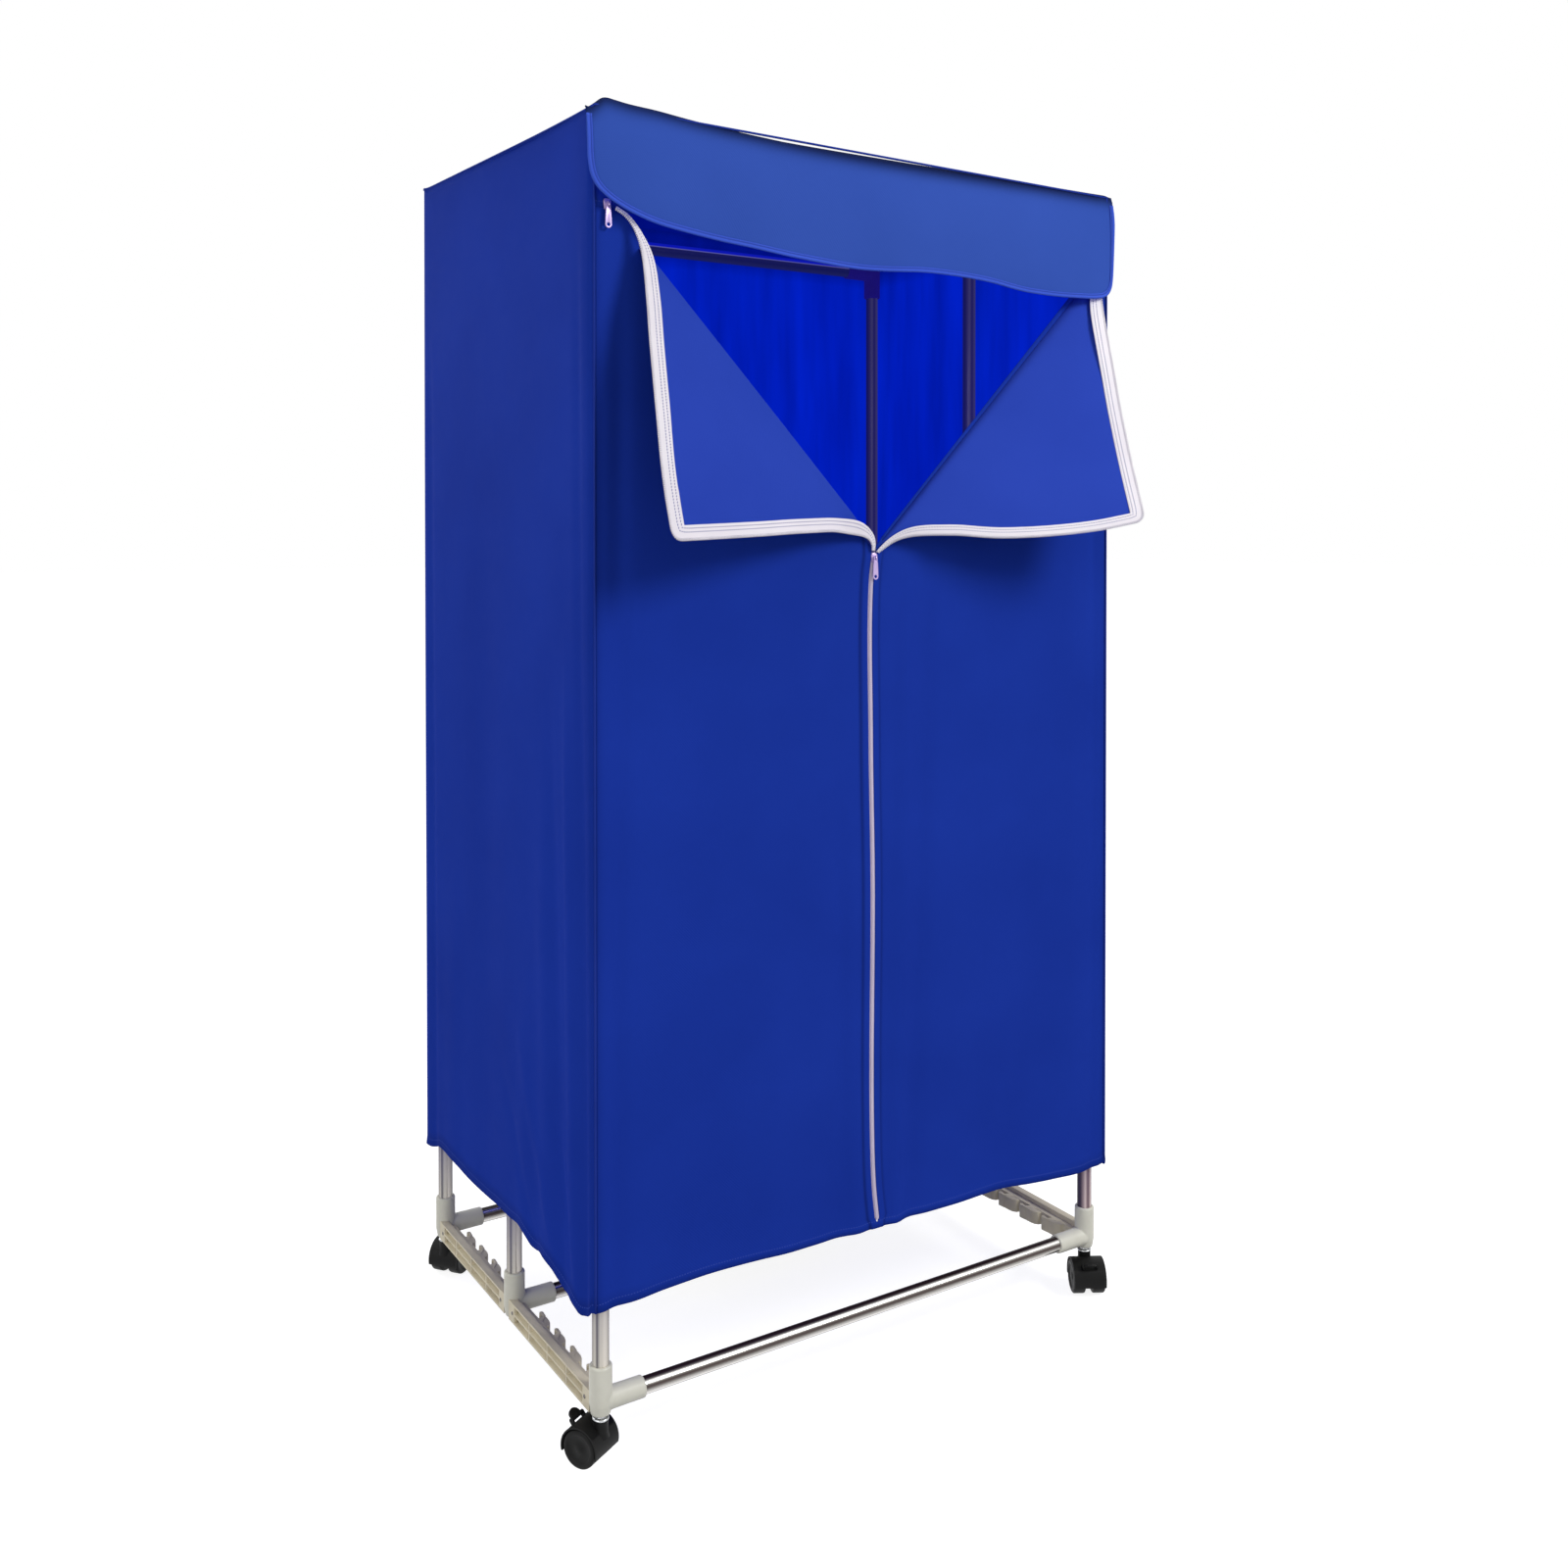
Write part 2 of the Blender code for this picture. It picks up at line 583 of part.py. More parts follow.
def build_caster(side, row, braked):
    tag = f"{row}_{side}"
    place = (SIDES[side] * POST_X, ROWS[row] * ROW_SPACING, 0)
    turn = (0, 0, CASTER_TURNS[side, row])
    hood_mesh, boss_mesh = hood_mesh_pieces()
    hood = add(f"caster_hood_{tag}", hood_mesh, "caster", place, turn)
    join(hood, boss_mesh, "boss")
    pivot = (TRAIL + LEVER_BACK, WHEEL_R + LEVER_UP)
    ear_low = LEVER_HALF + SEAT_GAP
    if braked:
        ear_reach = math.hypot(LEVER_BACK, LEVER_UP)
        share_in = 1 - (HOOD_R - HOOD_CLEARANCE) / ear_reach
        foot = (pivot[0] - share_in * LEVER_BACK, pivot[1] - share_in * LEVER_UP)
        for sign, ear in ((-1, "left_ear"), (1, "right_ear")):
            join(hood, ear_mesh(foot, pivot, sign * (ear_low + LEVER_EAR / 2)), ear)
        pin_end = ear_low + LEVER_EAR + OVERRUN
        pin_r = LEVER_PIN_R + SEAT_GAP
        cut(hood, drum_mesh(pin_r, (-pin_end, *pivot), (pin_end, *pivot), 10), "lever_bore")
    tunnel_r = WHEEL_R + HOOD_CLEARANCE
    for sign, name in ((-1, "left_wheel"), (1, "right_wheel")):
        near = (sign * WEB_HALF, TRAIL, WHEEL_R)
        far = (sign * (WHEEL_OUTER + OVERRUN), TRAIL, WHEEL_R)
        cut(hood, drum_mesh(tunnel_r, near, far, ROUND_STEPS), name)
    low = (-WHEEL_OUTER - OVERRUN, TRAIL - HOOD_R - OVERRUN, WHEEL_R - HOOD_R - OVERRUN)
    high = (WHEEL_OUTER + OVERRUN, TRAIL + HOOD_R + OVERRUN, WHEEL_R - HOOD_DROP)
    cut(hood, box_mesh(low, high), "open_side")
    bore_r = AXLE_R + SEAT_GAP
    bore_end = WEB_HALF + OVERRUN
    bore = drum_mesh(bore_r, (-bore_end, TRAIL, WHEEL_R), (bore_end, TRAIL, WHEEL_R), 16)
    cut(hood, bore, "axle_bore")
    axle_place = Matrix.Translation(place) @ Matrix.Rotation(turn[2], 4, "Z") @ Vector((0, TRAIL, WHEEL_R))
    wheels = wheel_pair_mesh()
    add(f"caster_wheels_{tag}", wheels, "caster", axle_place, turn)
    if braked:
        lever_place = Matrix.Translation(place) @ Matrix.Rotation(turn[2], 4, "Z") @ Vector((0, *pivot))
        build_lever(f"brake_lever_{tag}", lever_place, turn)


def ear_mesh(foot, pivot, x):
    """A small round-ended plate from the hood to the lever's pivot, square to X."""
    along = math.degrees(math.atan2(pivot[1] - foot[1], pivot[0] - foot[0]))
    outline = arc(pivot, LEVER_EAR_R, along - 90, along + 90, 7)
    outline += arc(foot, LEVER_EAR_R, along + 90, along + 91, 2)
    outline += arc(foot, LEVER_EAR_R, along - 91, along - 90, 2)
    mesh = flat_mesh([outline], -LEVER_EAR / 2, LEVER_EAR / 2)
    # The outline's X and Y become Y and Z
    upright = Matrix(((0, 0, 1, 0), (1, 0, 0, 0), (0, 1, 0, 0), (0, 0, 0, 1)))
    mesh.transform(Matrix.Translation((x, 0, 0)) @ upright)
    return mesh


def wheel_pair_mesh():
    """Two wheels with dished faces on one axle, turned about X."""
    half = [
        (0, WHEEL_OUTER - WHEEL_DISH), (WHEEL_R - 3 * WHEEL_ROUND, WHEEL_OUTER - WHEEL_DISH),
        (WHEEL_R - 2 * WHEEL_ROUND, WHEEL_OUTER), (WHEEL_R - WHEEL_ROUND, WHEEL_OUTER),
        (WHEEL_R, WHEEL_OUTER - WHEEL_ROUND), (WHEEL_R, WHEEL_INNER), (AXLE_R, WHEEL_INNER),
    ]
    profile = half + [(radius, -height) for radius, height in reversed(half)]
    mesh = turned_mesh(profile, ROUND_STEPS)
    mesh.transform(Matrix.Rotation(math.pi / 2, 4, "Y"))
    return mesh


def build_lever(name, place, turn):
    """A paddle on a barrel, with a pin at each end, in its own space: the pivot's axis is X."""
    pin_end = LEVER_HALF + SEAT_GAP + LEVER_EAR
    barrel = turned_mesh([
        (0, pin_end), (LEVER_PIN_R, pin_end), (LEVER_PIN_R, LEVER_HALF), (LEVER_BARREL_R, LEVER_HALF),
        (LEVER_BARREL_R, -LEVER_HALF), (LEVER_PIN_R, -LEVER_HALF), (LEVER_PIN_R, -pin_end), (0, -pin_end),
    ], 12)
    barrel.transform(Matrix.Rotation(math.pi / 2, 4, "Y"))
    lever = add(name, barrel, "caster", place, turn)
    paddle = flat_mesh([
        [(-LEVER_HALF, 0), (LEVER_HALF, 0)] + arc((0, LEVER_LENGTH - LEVER_HALF), LEVER_HALF, 30, 150, 7),
    ], -LEVER_THICKNESS / 2, LEVER_THICKNESS / 2)
    paddle.transform(Matrix.Rotation(LEVER_TILT, 4, "X"))
    join(lever, paddle, "paddle")


# Cloth: thin sheets whose folds die out at the seams, so that neighbouring sheets line up


FOLD_COUNT_SHARES = ((1.0, 2.0, 0.15), (0.55, 3.0, 0.60), (0.35, 5.0, 0.35))


def folds(across, up, shift=0.0):
    """Depth of the cloth's folds: three waves across the sheet, deeper towards the hem, none at a seam.
    across and up run from 0 to 1."""
    wave = sum(
        size * np.cos(2 * math.pi * (count / 2 * across + phase + shift + 0.12 * up))
        for size, count, phase in FOLD_COUNT_SHARES
    )
    seam = np.clip(np.sin(math.pi * across), 0, 1) ** 0.7
    height = (1 - up) ** 0.6 * np.clip(8 * (1 - up), 0, 1)
    return FOLD_DEPTH * seam * height * wave / 1.6


def hem_height(along, shift=0.0):
    """Height of the hem, which waves a little along the sheet."""
    return HEM_Z + HEM_WAVE * np.sin(2 * math.pi * (1.5 * along + shift)) * np.sin(math.pi * along)


def sheet(name, points, look="cloth", thickness=CLOTH, place=(0, 0, 0)):
    """A cloth sheet through a grid of points on its outer face, with its thickness behind them."""
    rows, columns = points.shape[:2]
    index = np.arange(rows * columns).reshape(rows, columns)
    faces = np.stack([index[:-1, :-1], index[:-1, 1:], index[1:, 1:], index[1:, :-1]], -1).reshape(-1, 4)
    mesh = bpy.data.meshes.new(name)
    mesh.from_pydata((points.reshape(-1, 3) - np.array(place)).tolist(), [], faces.tolist())
    mesh.shade_smooth()
    obj = add(name, mesh, look, place)
    solid = obj.modifiers.new("thickness", "SOLIDIFY")
    solid.thickness = thickness
    solid.offset = -1
    solid.use_even_offset = False
    return obj


def grid(columns, rows):
    across, up = np.meshgrid(np.linspace(0, 1, columns), np.linspace(0, 1, rows))
    return across, up


def build_walls():
    wall_y = COVER_Y - CLOTH - SEAT_GAP
    for side, x_sign in SIDES.items():
        across, up = grid(20, 11)
        along = x_sign * (2 * across - 1)
        hem = hem_height(across, 0.1 * x_sign)
        z = hem + up * (TOP_Z - hem)
        x = x_sign * (COVER_X + folds(across, up, 0.2 * x_sign))
        sheet(f"cover_{side}", np.stack([x, along * wall_y, z], -1))
    across, up = grid(20, 9)
    hem = hem_height(across, 0.3)
    z = hem + up * (TOP_Z - hem)
    back_y = COVER_Y + folds(across, up, 0.45)
    sheet("cover_back", np.stack([(1 - 2 * across) * COVER_X, back_y, z], -1))


def mouth_height(x, x_sign):
    """Height of the mouth's slanting side, which is level past the mouth's outer end."""
    seam_x = ZIP_X + x_sign * (CHAIN_WIDTH / 2 + SEAT_GAP)
    share = np.clip((x - seam_x) / (x_sign * MOUTH_SIDE - seam_x), 0, 1)
    return MOUTH_Z + share * FLAP_DROP


def build_front():
    for side, x_sign in SIDES.items():
        across, up = grid(13, 11)
        seam_x = ZIP_X + x_sign * (CHAIN_WIDTH / 2 + SEAT_GAP)
        outer_x = x_sign * COVER_X
        # The last column but one stands at the mouth's outer end
        stops = np.append(np.linspace(0, 1, 12) * (x_sign * MOUTH_SIDE - seam_x), outer_x - seam_x) + seam_x
        x = np.broadcast_to(stops, across.shape)
        hem = hem_height(across, 0.45 if side == "left" else 0.2)
        top = mouth_height(x, x_sign)
        z = hem + up * (top - hem)
        y = -(COVER_Y + folds(across, up, 0.3 * x_sign))
        points = np.stack([x, y, z], -1)
        sheet(f"cover_front_{side}", points if x_sign > 0 else points[:, ::-1])
    across, up = grid(9, 3)
    z = ZIP_LINE_Z + up * (TOP_Z - ZIP_LINE_Z)
    sheet("cover_front_top", np.stack([(2 * across - 1) * COVER_X, np.full_like(z, -COVER_Y), z], -1))


def build_roof():
    across, deep = grid(13, 9)
    x = (2 * across - 1) * COVER_X
    # The roof lies flat over the top bars, and sags between them and between the rows
    inside = POST_X - TOOTH_REACH
    bay = np.clip((x + inside) / (2 * inside), 0, 1)
    sag = ROOF_SAG * np.sin(math.pi * bay) * np.abs(np.sin(2 * math.pi * deep))
    y = (2 * deep - 1) * COVER_Y
    sheet("cover_roof", np.stack([x, y, ROOF_Z - sag], -1))


# Lower edge of the valance: shares of the half width, and of the depth that it hangs down
VALANCE_EDGE_SHARES = (
    (-1.0, 0.34), (-0.985, 0.62), (-0.94, 0.70), (-0.86, 0.78), (-0.76, 0.845), (-0.52, 0.915),
    (-0.34, 0.96), (-0.14, 1.0), (0.0, 0.99), (0.20, 0.955), (0.42, 0.975), (0.60, 1.03), (0.80, 1.025),
    (0.93, 0.93), (0.975, 0.62), (1.0, 0.36),
)
VALANCE_DROP = 0.140


def build_valance():
    across, down = grid(25, 5)
    edge = np.array(VALANCE_EDGE_SHARES)
    # Columns stand closer together near the two rounded ends
    spread = (1 - np.cos(math.pi * across)) - 1
    share = 0.35 * spread + 0.65 * (2 * across - 1)
    drop = VALANCE_DROP * np.interp(share, edge[:, 0], edge[:, 1])
    x = share * COVER_X
    z = ROOF_Z - down * drop
    # The lip is a parabola down the sheet, and smaller at the two short ends
    lip = np.minimum(VALANCE_LIP * (0.9 + 0.1 * np.cos(5 * share)), VALANCE_SLOPE_SHARE * drop)
    bulge = lip * (1 - (1 - down) ** 2)
    y = -(COVER_Y + SEAT_GAP + CLOTH + bulge)
    place = (0, -(COVER_Y + SEAT_GAP + CLOTH), ROOF_Z)
    sheet("valance", np.stack([x, y, z], -1)[::-1], "lining", place=place)


def build_flaps():
    """Each flap turns about the slanting side of the mouth. Its points are laid out flat, as a triangle from
    the fold to the cloth's free corner, and then carried round the fold."""
    for side, x_sign in SIDES.items():
        seam_x = ZIP_X + x_sign * (CHAIN_WIDTH / 2 + SEAT_GAP)
        outer = np.array([x_sign * MOUTH_SIDE, MOUTH_Z + FLAP_DROP])
        inner = np.array([seam_x, MOUTH_Z])
        corner = np.array([seam_x, MOUTH_Z + FLAP_DROP])
        length = np.linalg.norm(inner - outer)
        along = (inner - outer) / length
        towards = np.array([-along[1], along[0]])
        towards *= np.sign(towards @ (corner - outer))
        corner_along = along @ (corner - outer)
        height = towards @ (corner - outer)
        across, up = grid(9, 10)
        # Rows stand closer together near the fold, and the corner at the side zip is cut off
        up = FLAP_END_SHARE * up ** FLAP_ROW_POWER
        run_from = np.maximum(up * corner_along, FLAP_STARTS[side])
        run_to = length - up * (length - corner_along)
        run = run_from + across * (run_to - run_from)
        # The sheet leaves the front square to it and turns down within the fold's radius
        s = np.linspace(0, height, FLAP_CURL_STEPS)
        direction = FLAP_ANGLE - (FLAP_ANGLE - math.pi / 2) * np.exp(-s / FLAP_FOLD_R)
        step = np.gradient(s)
        out_at = np.cumsum(np.sin(direction) * step)
        up_at = np.cumsum(np.cos(direction) * step)
        out = np.interp(up * height, s, out_at)
        rise = np.interp(up * height, s, up_at)
        flat = outer + run[..., None] * along + rise[..., None] * towards
        y = -(COVER_Y + SEAT_GAP + out)
        points = np.stack([flat[..., 0], y, flat[..., 1]], -1)
        place = (outer[0], -(COVER_Y + SEAT_GAP), outer[1])
        sheet(f"flap_{side}", points if x_sign > 0 else points[:, ::-1], "lining", place=place)


# Zip: the closed chain below the mouth, three sliders and their pulls


def build_chain():
    low_z = HEM_Z
    high_z = SLIDER_Z + SLIDER_LENGTH / 3
    half = CHAIN_WIDTH / 2
    section = [
        (-half, -CHAIN_THICKNESS / 4), (-half / 2, -CHAIN_THICKNESS / 2), (half / 2, -CHAIN_THICKNESS / 2),
        (half, -CHAIN_THICKNESS / 4), (half, CHAIN_THICKNESS / 4), (half / 2, CHAIN_THICKNESS / 2),
        (-half / 2, CHAIN_THICKNESS / 2), (-half, CHAIN_THICKNESS / 4),
    ]
    mesh = flat_mesh([section], low_z, high_z)
    add("zip_chain", mesh, "zip", (ZIP_X, -COVER_Y + CLOTH / 2, 0))


def slider(name, place):
    """A slider's front shell with the lug that its pull hangs in. Its own space has the lug's eye along X at
    the origin, and the shell behind it."""
    half_w, half_l = SLIDER_WIDTH / 2, SLIDER_LENGTH / 2
    outline = [
        (-half_w, half_l / 2), (-half_w * 0.7, half_l), (half_w * 0.7, half_l), (half_w, half_l / 2),
        (half_w * 0.75, -half_l), (-half_w * 0.75, -half_l),
    ]
    shell = flat_mesh([outline], 0, SLIDER_THICKNESS)
    # The outline's X and Y become X and Z, and its thickness runs back along +Y
    standing = Matrix(((1, 0, 0, 0), (0, 0, 1, 0), (0, 1, 0, 0), (0, 0, 0, 1)))
    shell.transform(Matrix.Translation((0, LUG_R, 0)) @ standing)
    bm = bmesh.new()
    bm.from_mesh(shell)
    bmesh.ops.recalc_face_normals(bm, faces=bm.faces)
    bm.to_mesh(shell)
    bm.free()
    obj = add(name, shell, "pull", place)
    join(obj, drum_mesh(LUG_R + LAP / 2, (-LUG_WIDTH / 2, 0, 0), (LUG_WIDTH / 2, 0, 0), 14), "lug")
    cut(obj, drum_mesh(LUG_EYE_R, (-SLIDER_WIDTH, 0, 0), (SLIDER_WIDTH, 0, 0), 12), "eye")
    return obj


def pull(name, place):
    """A flat pull that hangs from its top bar, with a slot round the slider's lug and a hole at its end."""
    half_w = PULL_WIDTH / 2
    neck = PULL_SLOT / 2 + LAP
    slot_end = -(LUG_R + LAP)
    foot = -(PULL_LENGTH - half_w)
    outline = (
        [(-neck, PULL_BAR_R), (-neck, slot_end - LAP), (-half_w * 0.8, slot_end - 3 * LAP)]
        + arc((0, foot), half_w, 180, 360, 9)
        + [(half_w * 0.8, slot_end - 3 * LAP), (neck, slot_end - LAP), (neck, PULL_BAR_R)]
    )
    slot = [
        (-PULL_SLOT / 2, -PULL_BAR_R), (PULL_SLOT / 2, -PULL_BAR_R),
        (PULL_SLOT / 2, slot_end), (-PULL_SLOT / 2, slot_end),
    ]
    hole = arc((0, foot), PULL_HOLE_R, 360, 30, 12)
    mesh = flat_mesh([outline, slot, hole], -PULL_THICKNESS / 2, PULL_THICKNESS / 2)
    mesh.transform(Matrix.Rotation(math.pi / 2, 4, "X"))
    return add(name, mesh, "pull", place)


def build_zip():
    build_chain()
    face_y = -(COVER_Y + SEAT_GAP)
    lug_y = face_y - SLIDER_THICKNESS - LUG_R
    chain_lug_y = -COVER_Y + CLOTH / 2 - CHAIN_THICKNESS / 2 - SEAT_GAP - SLIDER_THICKNESS - LUG_R
    places = {
        "middle": (ZIP_X, chain_lug_y, SLIDER_Z),
        "left": (-SIDE_SLIDER_X, lug_y, SIDE_SLIDER_Z),
        "right": (SIDE_SLIDER_X, lug_y, SIDE_SLIDER_Z),
    }
    for side, place in places.items():
        slider(f"zip_slider_{side}", place)
        pull(f"zip_pull_{side}", place)


# Fan heater


def build_heater():
    place = (0, HEATER_Y, HEATER_FLOOR_Z)
    outer = rounded_rectangle(HEATER_WIDTH, HEATER_DEPTH, HEATER_CORNER_R)
    inner = rounded_rectangle(
        HEATER_WIDTH - 2 * HEATER_WALL, HEATER_DEPTH - 2 * HEATER_WALL, HEATER_CORNER_R - HEATER_WALL
    )
    rim_z = HEATER_HEIGHT - GRILLE_THICKNESS
    housing = add("heater_housing", flat_mesh([outer], 0, HEATER_HEIGHT), "heater", place)
    saddles = []
    for sign in (-1, 1):
        y = sign * ROW_SPACING / 2
        low = (-HEATER_WIDTH / 4, y - HEATER_SADDLE_HALF, -HEATER_SADDLE)
        saddles.append((low, (HEATER_WIDTH / 4, y + HEATER_SADDLE_HALF, LAP)))
    join(housing, boxes_mesh(saddles), "saddles")
    cut(housing, flat_mesh([inner], HEATER_WALL, HEATER_HEIGHT + OVERRUN), "inside")
    rim = rounded_rectangle(
        HEATER_WIDTH - HEATER_WALL, HEATER_DEPTH - HEATER_WALL, HEATER_CORNER_R - HEATER_WALL / 2
    )
    cut(housing, flat_mesh([rim], rim_z, HEATER_HEIGHT + OVERRUN), "rim")
    fan_z = HEATER_WALL + FAN_RISE
    motor = turned_mesh([
        (0, fan_z + FAN_HEIGHT), (SHAFT_R, fan_z + FAN_HEIGHT), (SHAFT_R, fan_z - SEAT_GAP),
        (MOTOR_R * 0.8, fan_z - SEAT_GAP), (MOTOR_R, fan_z - 2 * LAP), (MOTOR_R, HEATER_WALL / 2),
        (0, HEATER_WALL / 2),
    ])
    join(housing, motor, "motor")
    ledge_z = HEATER_WALL + ELEMENT_RISE - SEAT_GAP
    ledges = []
    half_width = HEATER_WIDTH / 2
    for sign in (-1, 1):
        ledge_end = half_width - HEATER_WALL - LEDGE_LENGTH
        x_edges = sorted((sign * (half_width - HEATER_WALL / 2), sign * ledge_end))
        low = (x_edges[0], -ELEMENT_WIDTH / 3, ledge_z - LEDGE_LENGTH)
        ledges.append((low, (x_edges[1], ELEMENT_WIDTH / 3, ledge_z)))
    join(housing, boxes_mesh(ledges), "ledges")
    for sign in (-1, 1):
        y = sign * ROW_SPACING / 2
        rail_z = BASE_RAIL_Z - HEATER_FLOOR_Z
        groove = drum_mesh(BORE_R, (-HEATER_WIDTH / 2, y, rail_z), (HEATER_WIDTH / 2, y, rail_z))
        cut(housing, groove, "front_groove" if sign < 0 else "rear_groove")
    slots = []
    intake_z = HEATER_WALL + LEDGE_LENGTH
    for sign in (-1, 1):
        for i in range(INTAKE_SLOTS):
            y = (i - (INTAKE_SLOTS - 1) / 2) * INTAKE_PITCH
            x_edges = sorted((sign * (half_width + OVERRUN), sign * (half_width - HEATER_WALL - OVERRUN)))
            low = (x_edges[0], y - INTAKE_SLOT / 2, intake_z)
            slots.append((low, (x_edges[1], y + INTAKE_SLOT / 2, intake_z + INTAKE_HEIGHT)))
    cut(housing, boxes_mesh(slots), "intake")
    knob_z = HEATER_HEIGHT / 2
    front = -HEATER_DEPTH / 2
    hole_end = (0, front + HEATER_WALL + OVERRUN, knob_z)
    shaft_hole = drum_mesh(KNOB_SHAFT_R + SEAT_GAP, (0, front - OVERRUN, knob_z), hole_end, 16)
    cut(housing, shaft_hole, "knob_hole")
    # The inlet for the mains lead is a short round boss on the rear wall
    back = -front
    inlet_x = HEATER_WIDTH / 3
    inlet_z = HEATER_HEIGHT / 4
    boss_start = (inlet_x, back - HEATER_WALL / 2, inlet_z)
    join(housing, drum_mesh(INLET_R, boss_start, (inlet_x, back + INLET_LENGTH, inlet_z), 16), "inlet")
    bore_start = (inlet_x, back - HEATER_WALL - OVERRUN, inlet_z)
    bore_end = (inlet_x, back + INLET_LENGTH + OVERRUN, inlet_z)
    cut(housing, drum_mesh(INLET_R / 2, bore_start, bore_end, 16), "inlet_bore")

    build_grille(place, rim_z)
    build_fan((0, HEATER_Y, HEATER_FLOOR_Z + fan_z))
    build_element((0, HEATER_Y, HEATER_FLOOR_Z + HEATER_WALL + ELEMENT_RISE))
    build_knob((0, HEATER_Y + front, HEATER_FLOOR_Z + knob_z))


def build_grille(place, rim_z):
    """The outlet grille, which drops into a rebate in the housing's rim: slots that follow a circle."""
    gap = HEATER_WALL + 2 * SEAT_GAP
    outline = rounded_rectangle(HEATER_WIDTH - gap, HEATER_DEPTH - gap, HEATER_CORNER_R - gap / 2)
    low, high = rim_z + SEAT_GAP, HEATER_HEIGHT
    grille = add("heater_grille", flat_mesh([outline], low, high), "dark", place)
    field = HEATER_DEPTH / 2 - GRILLE_MARGIN
    pitch = 2 * field / GRILLE_SLOTS
    slots = []
    for i in range(GRILLE_SLOTS):
        y = -field + (i + 0.5) * pitch
        half = math.sqrt(field * field - y * y)
        for sign in (-1, 1):
            x_edges = sorted((sign * GRILLE_RIB / 2, sign * half))
            y_half = (pitch - GRILLE_RIB) / 2
            slots.append(((x_edges[0], y - y_half, low - OVERRUN), (x_edges[1], y + y_half, high + OVERRUN)))
    cut(grille, boxes_mesh(slots), "slots")


def build_fan(place):
    """A hub with pitched blades, in its own space: it turns about Z, and stands on the motor."""
    hub = turned_mesh([
        (0, FAN_HEIGHT + LAP), (FAN_HUB_R * 0.7, FAN_HEIGHT + LAP), (FAN_HUB_R, FAN_HEIGHT - LAP),
        (FAN_HUB_R, 0), (0, 0),
    ])
    fan = add("heater_fan", hub, "dark", place)
    for i in range(FAN_BLADES):
        join(fan, blade_mesh(2 * math.pi * i / FAN_BLADES), f"blade_{i + 1}")
    cut(fan, drum_mesh(FAN_BORE_R, (0, 0, -OVERRUN), (0, 0, FAN_HEIGHT + SEAT_GAP), 16), "bore")


def blade_mesh(turn):
    """A blade lofted between root and tip: a slanting strip whose pitch eases towards the tip."""
    sections = 4
    width_share = 0.62
    verts = []
    for i in range(sections):
        share = i / (sections - 1)
        radius = FAN_HUB_R - LAP * 2 + share * (FAN_R - FAN_HUB_R + LAP * 2)
        half_w = FAN_HUB_R * width_share * (0.8 + 0.6 * share)
        pitch = math.radians(48 - 22 * share)
        for across, thick in ((-1, -1), (1, -1), (1, 1), (-1, 1)):
            y = across * half_w * math.cos(pitch) - thick * FAN_BLADE / 2 * math.sin(pitch)
            z = across * half_w * math.sin(pitch) * 0.55 + thick * FAN_BLADE / 2 * math.cos(pitch)
            verts.append((radius, y, FAN_HEIGHT / 2 + z))

    def build(bm):
        made = [bm.verts.new(v) for v in verts]
        for i in range(sections - 1):
            for j in range(4):
                a, b = i * 4 + j, i * 4 + (j + 1) % 4
                bm.faces.new((made[a], made[b], made[b + 4], made[a + 4]))
        bm.faces.new(made[:4])
        bm.faces.new(made[-4:])
    mesh = mesh_of(build)
    mesh.transform(Matrix.Rotation(turn, 4, "Z"))
    return mesh


def build_element(place):
    """The finned heating block, which spans the housing and rests on a ledge at each end."""
    half_x = HEATER_WIDTH / 2 - HEATER_WALL - SEAT_GAP
    half_y = ELEMENT_WIDTH / 2
    block = box_mesh((-half_x, -half_y, 0), (half_x, half_y, ELEMENT_HEIGHT))
    element = add("heater_element", block, "element", place)
    usable = 2 * (half_x - LEDGE_LENGTH - ELEMENT_RIM)
    pitch = usable / ELEMENT_SLOTS
    slots = []
    for i in range(ELEMENT_SLOTS):
        x = -usable / 2 + i * pitch
        low = (x + ELEMENT_FIN / 2, -half_y + ELEMENT_RIM, -OVERRUN)
        slots.append((low, (x + pitch - ELEMENT_FIN / 2, half_y - ELEMENT_RIM, ELEMENT_HEIGHT + OVERRUN)))
    cut(element, boxes_mesh(slots), "fins")


def build_knob(place):
    """The timer's knob, in its own space: it turns about Y, its face towards -Y."""
    face = -(KNOB_LENGTH + SEAT_GAP)
    knob = turned_mesh([
        (0, -face), (KNOB_R * 0.8, -face), (KNOB_R * 0.9, -face - LAP), (KNOB_R, SEAT_GAP),
        (KNOB_SHAFT_R, SEAT_GAP), (KNOB_SHAFT_R, -2 * HEATER_WALL), (0, -2 * HEATER_WALL),
    ], 24)
    knob.transform(Matrix.Rotation(math.pi / 2, 4, "X"))
    obj = add("timer_knob", knob, "dark", place)
    low = (-KNOB_RIDGE / 2, face - KNOB_RIDGE / 2, -KNOB_R * 0.75)
    join(obj, box_mesh(low, (KNOB_RIDGE / 2, face + LAP, KNOB_R * 0.75)), "ridge")


build_tubes()
build_connectors()
build_bars()
build_caster("left", "front", True)
build_caster("right", "front", True)
build_caster("left", "rear", False)
build_caster("right", "rear", False)
build_walls()
build_front()
build_roof()
build_valance()
build_flaps()
build_zip()
build_heater()
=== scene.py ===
# Portable clothes dryer: steel tube frame on casters, zipped blue cover with fold-out flaps, fan heater
import json
import math

import bmesh
import bpy
import numpy as np
from mathutils import Matrix, Vector

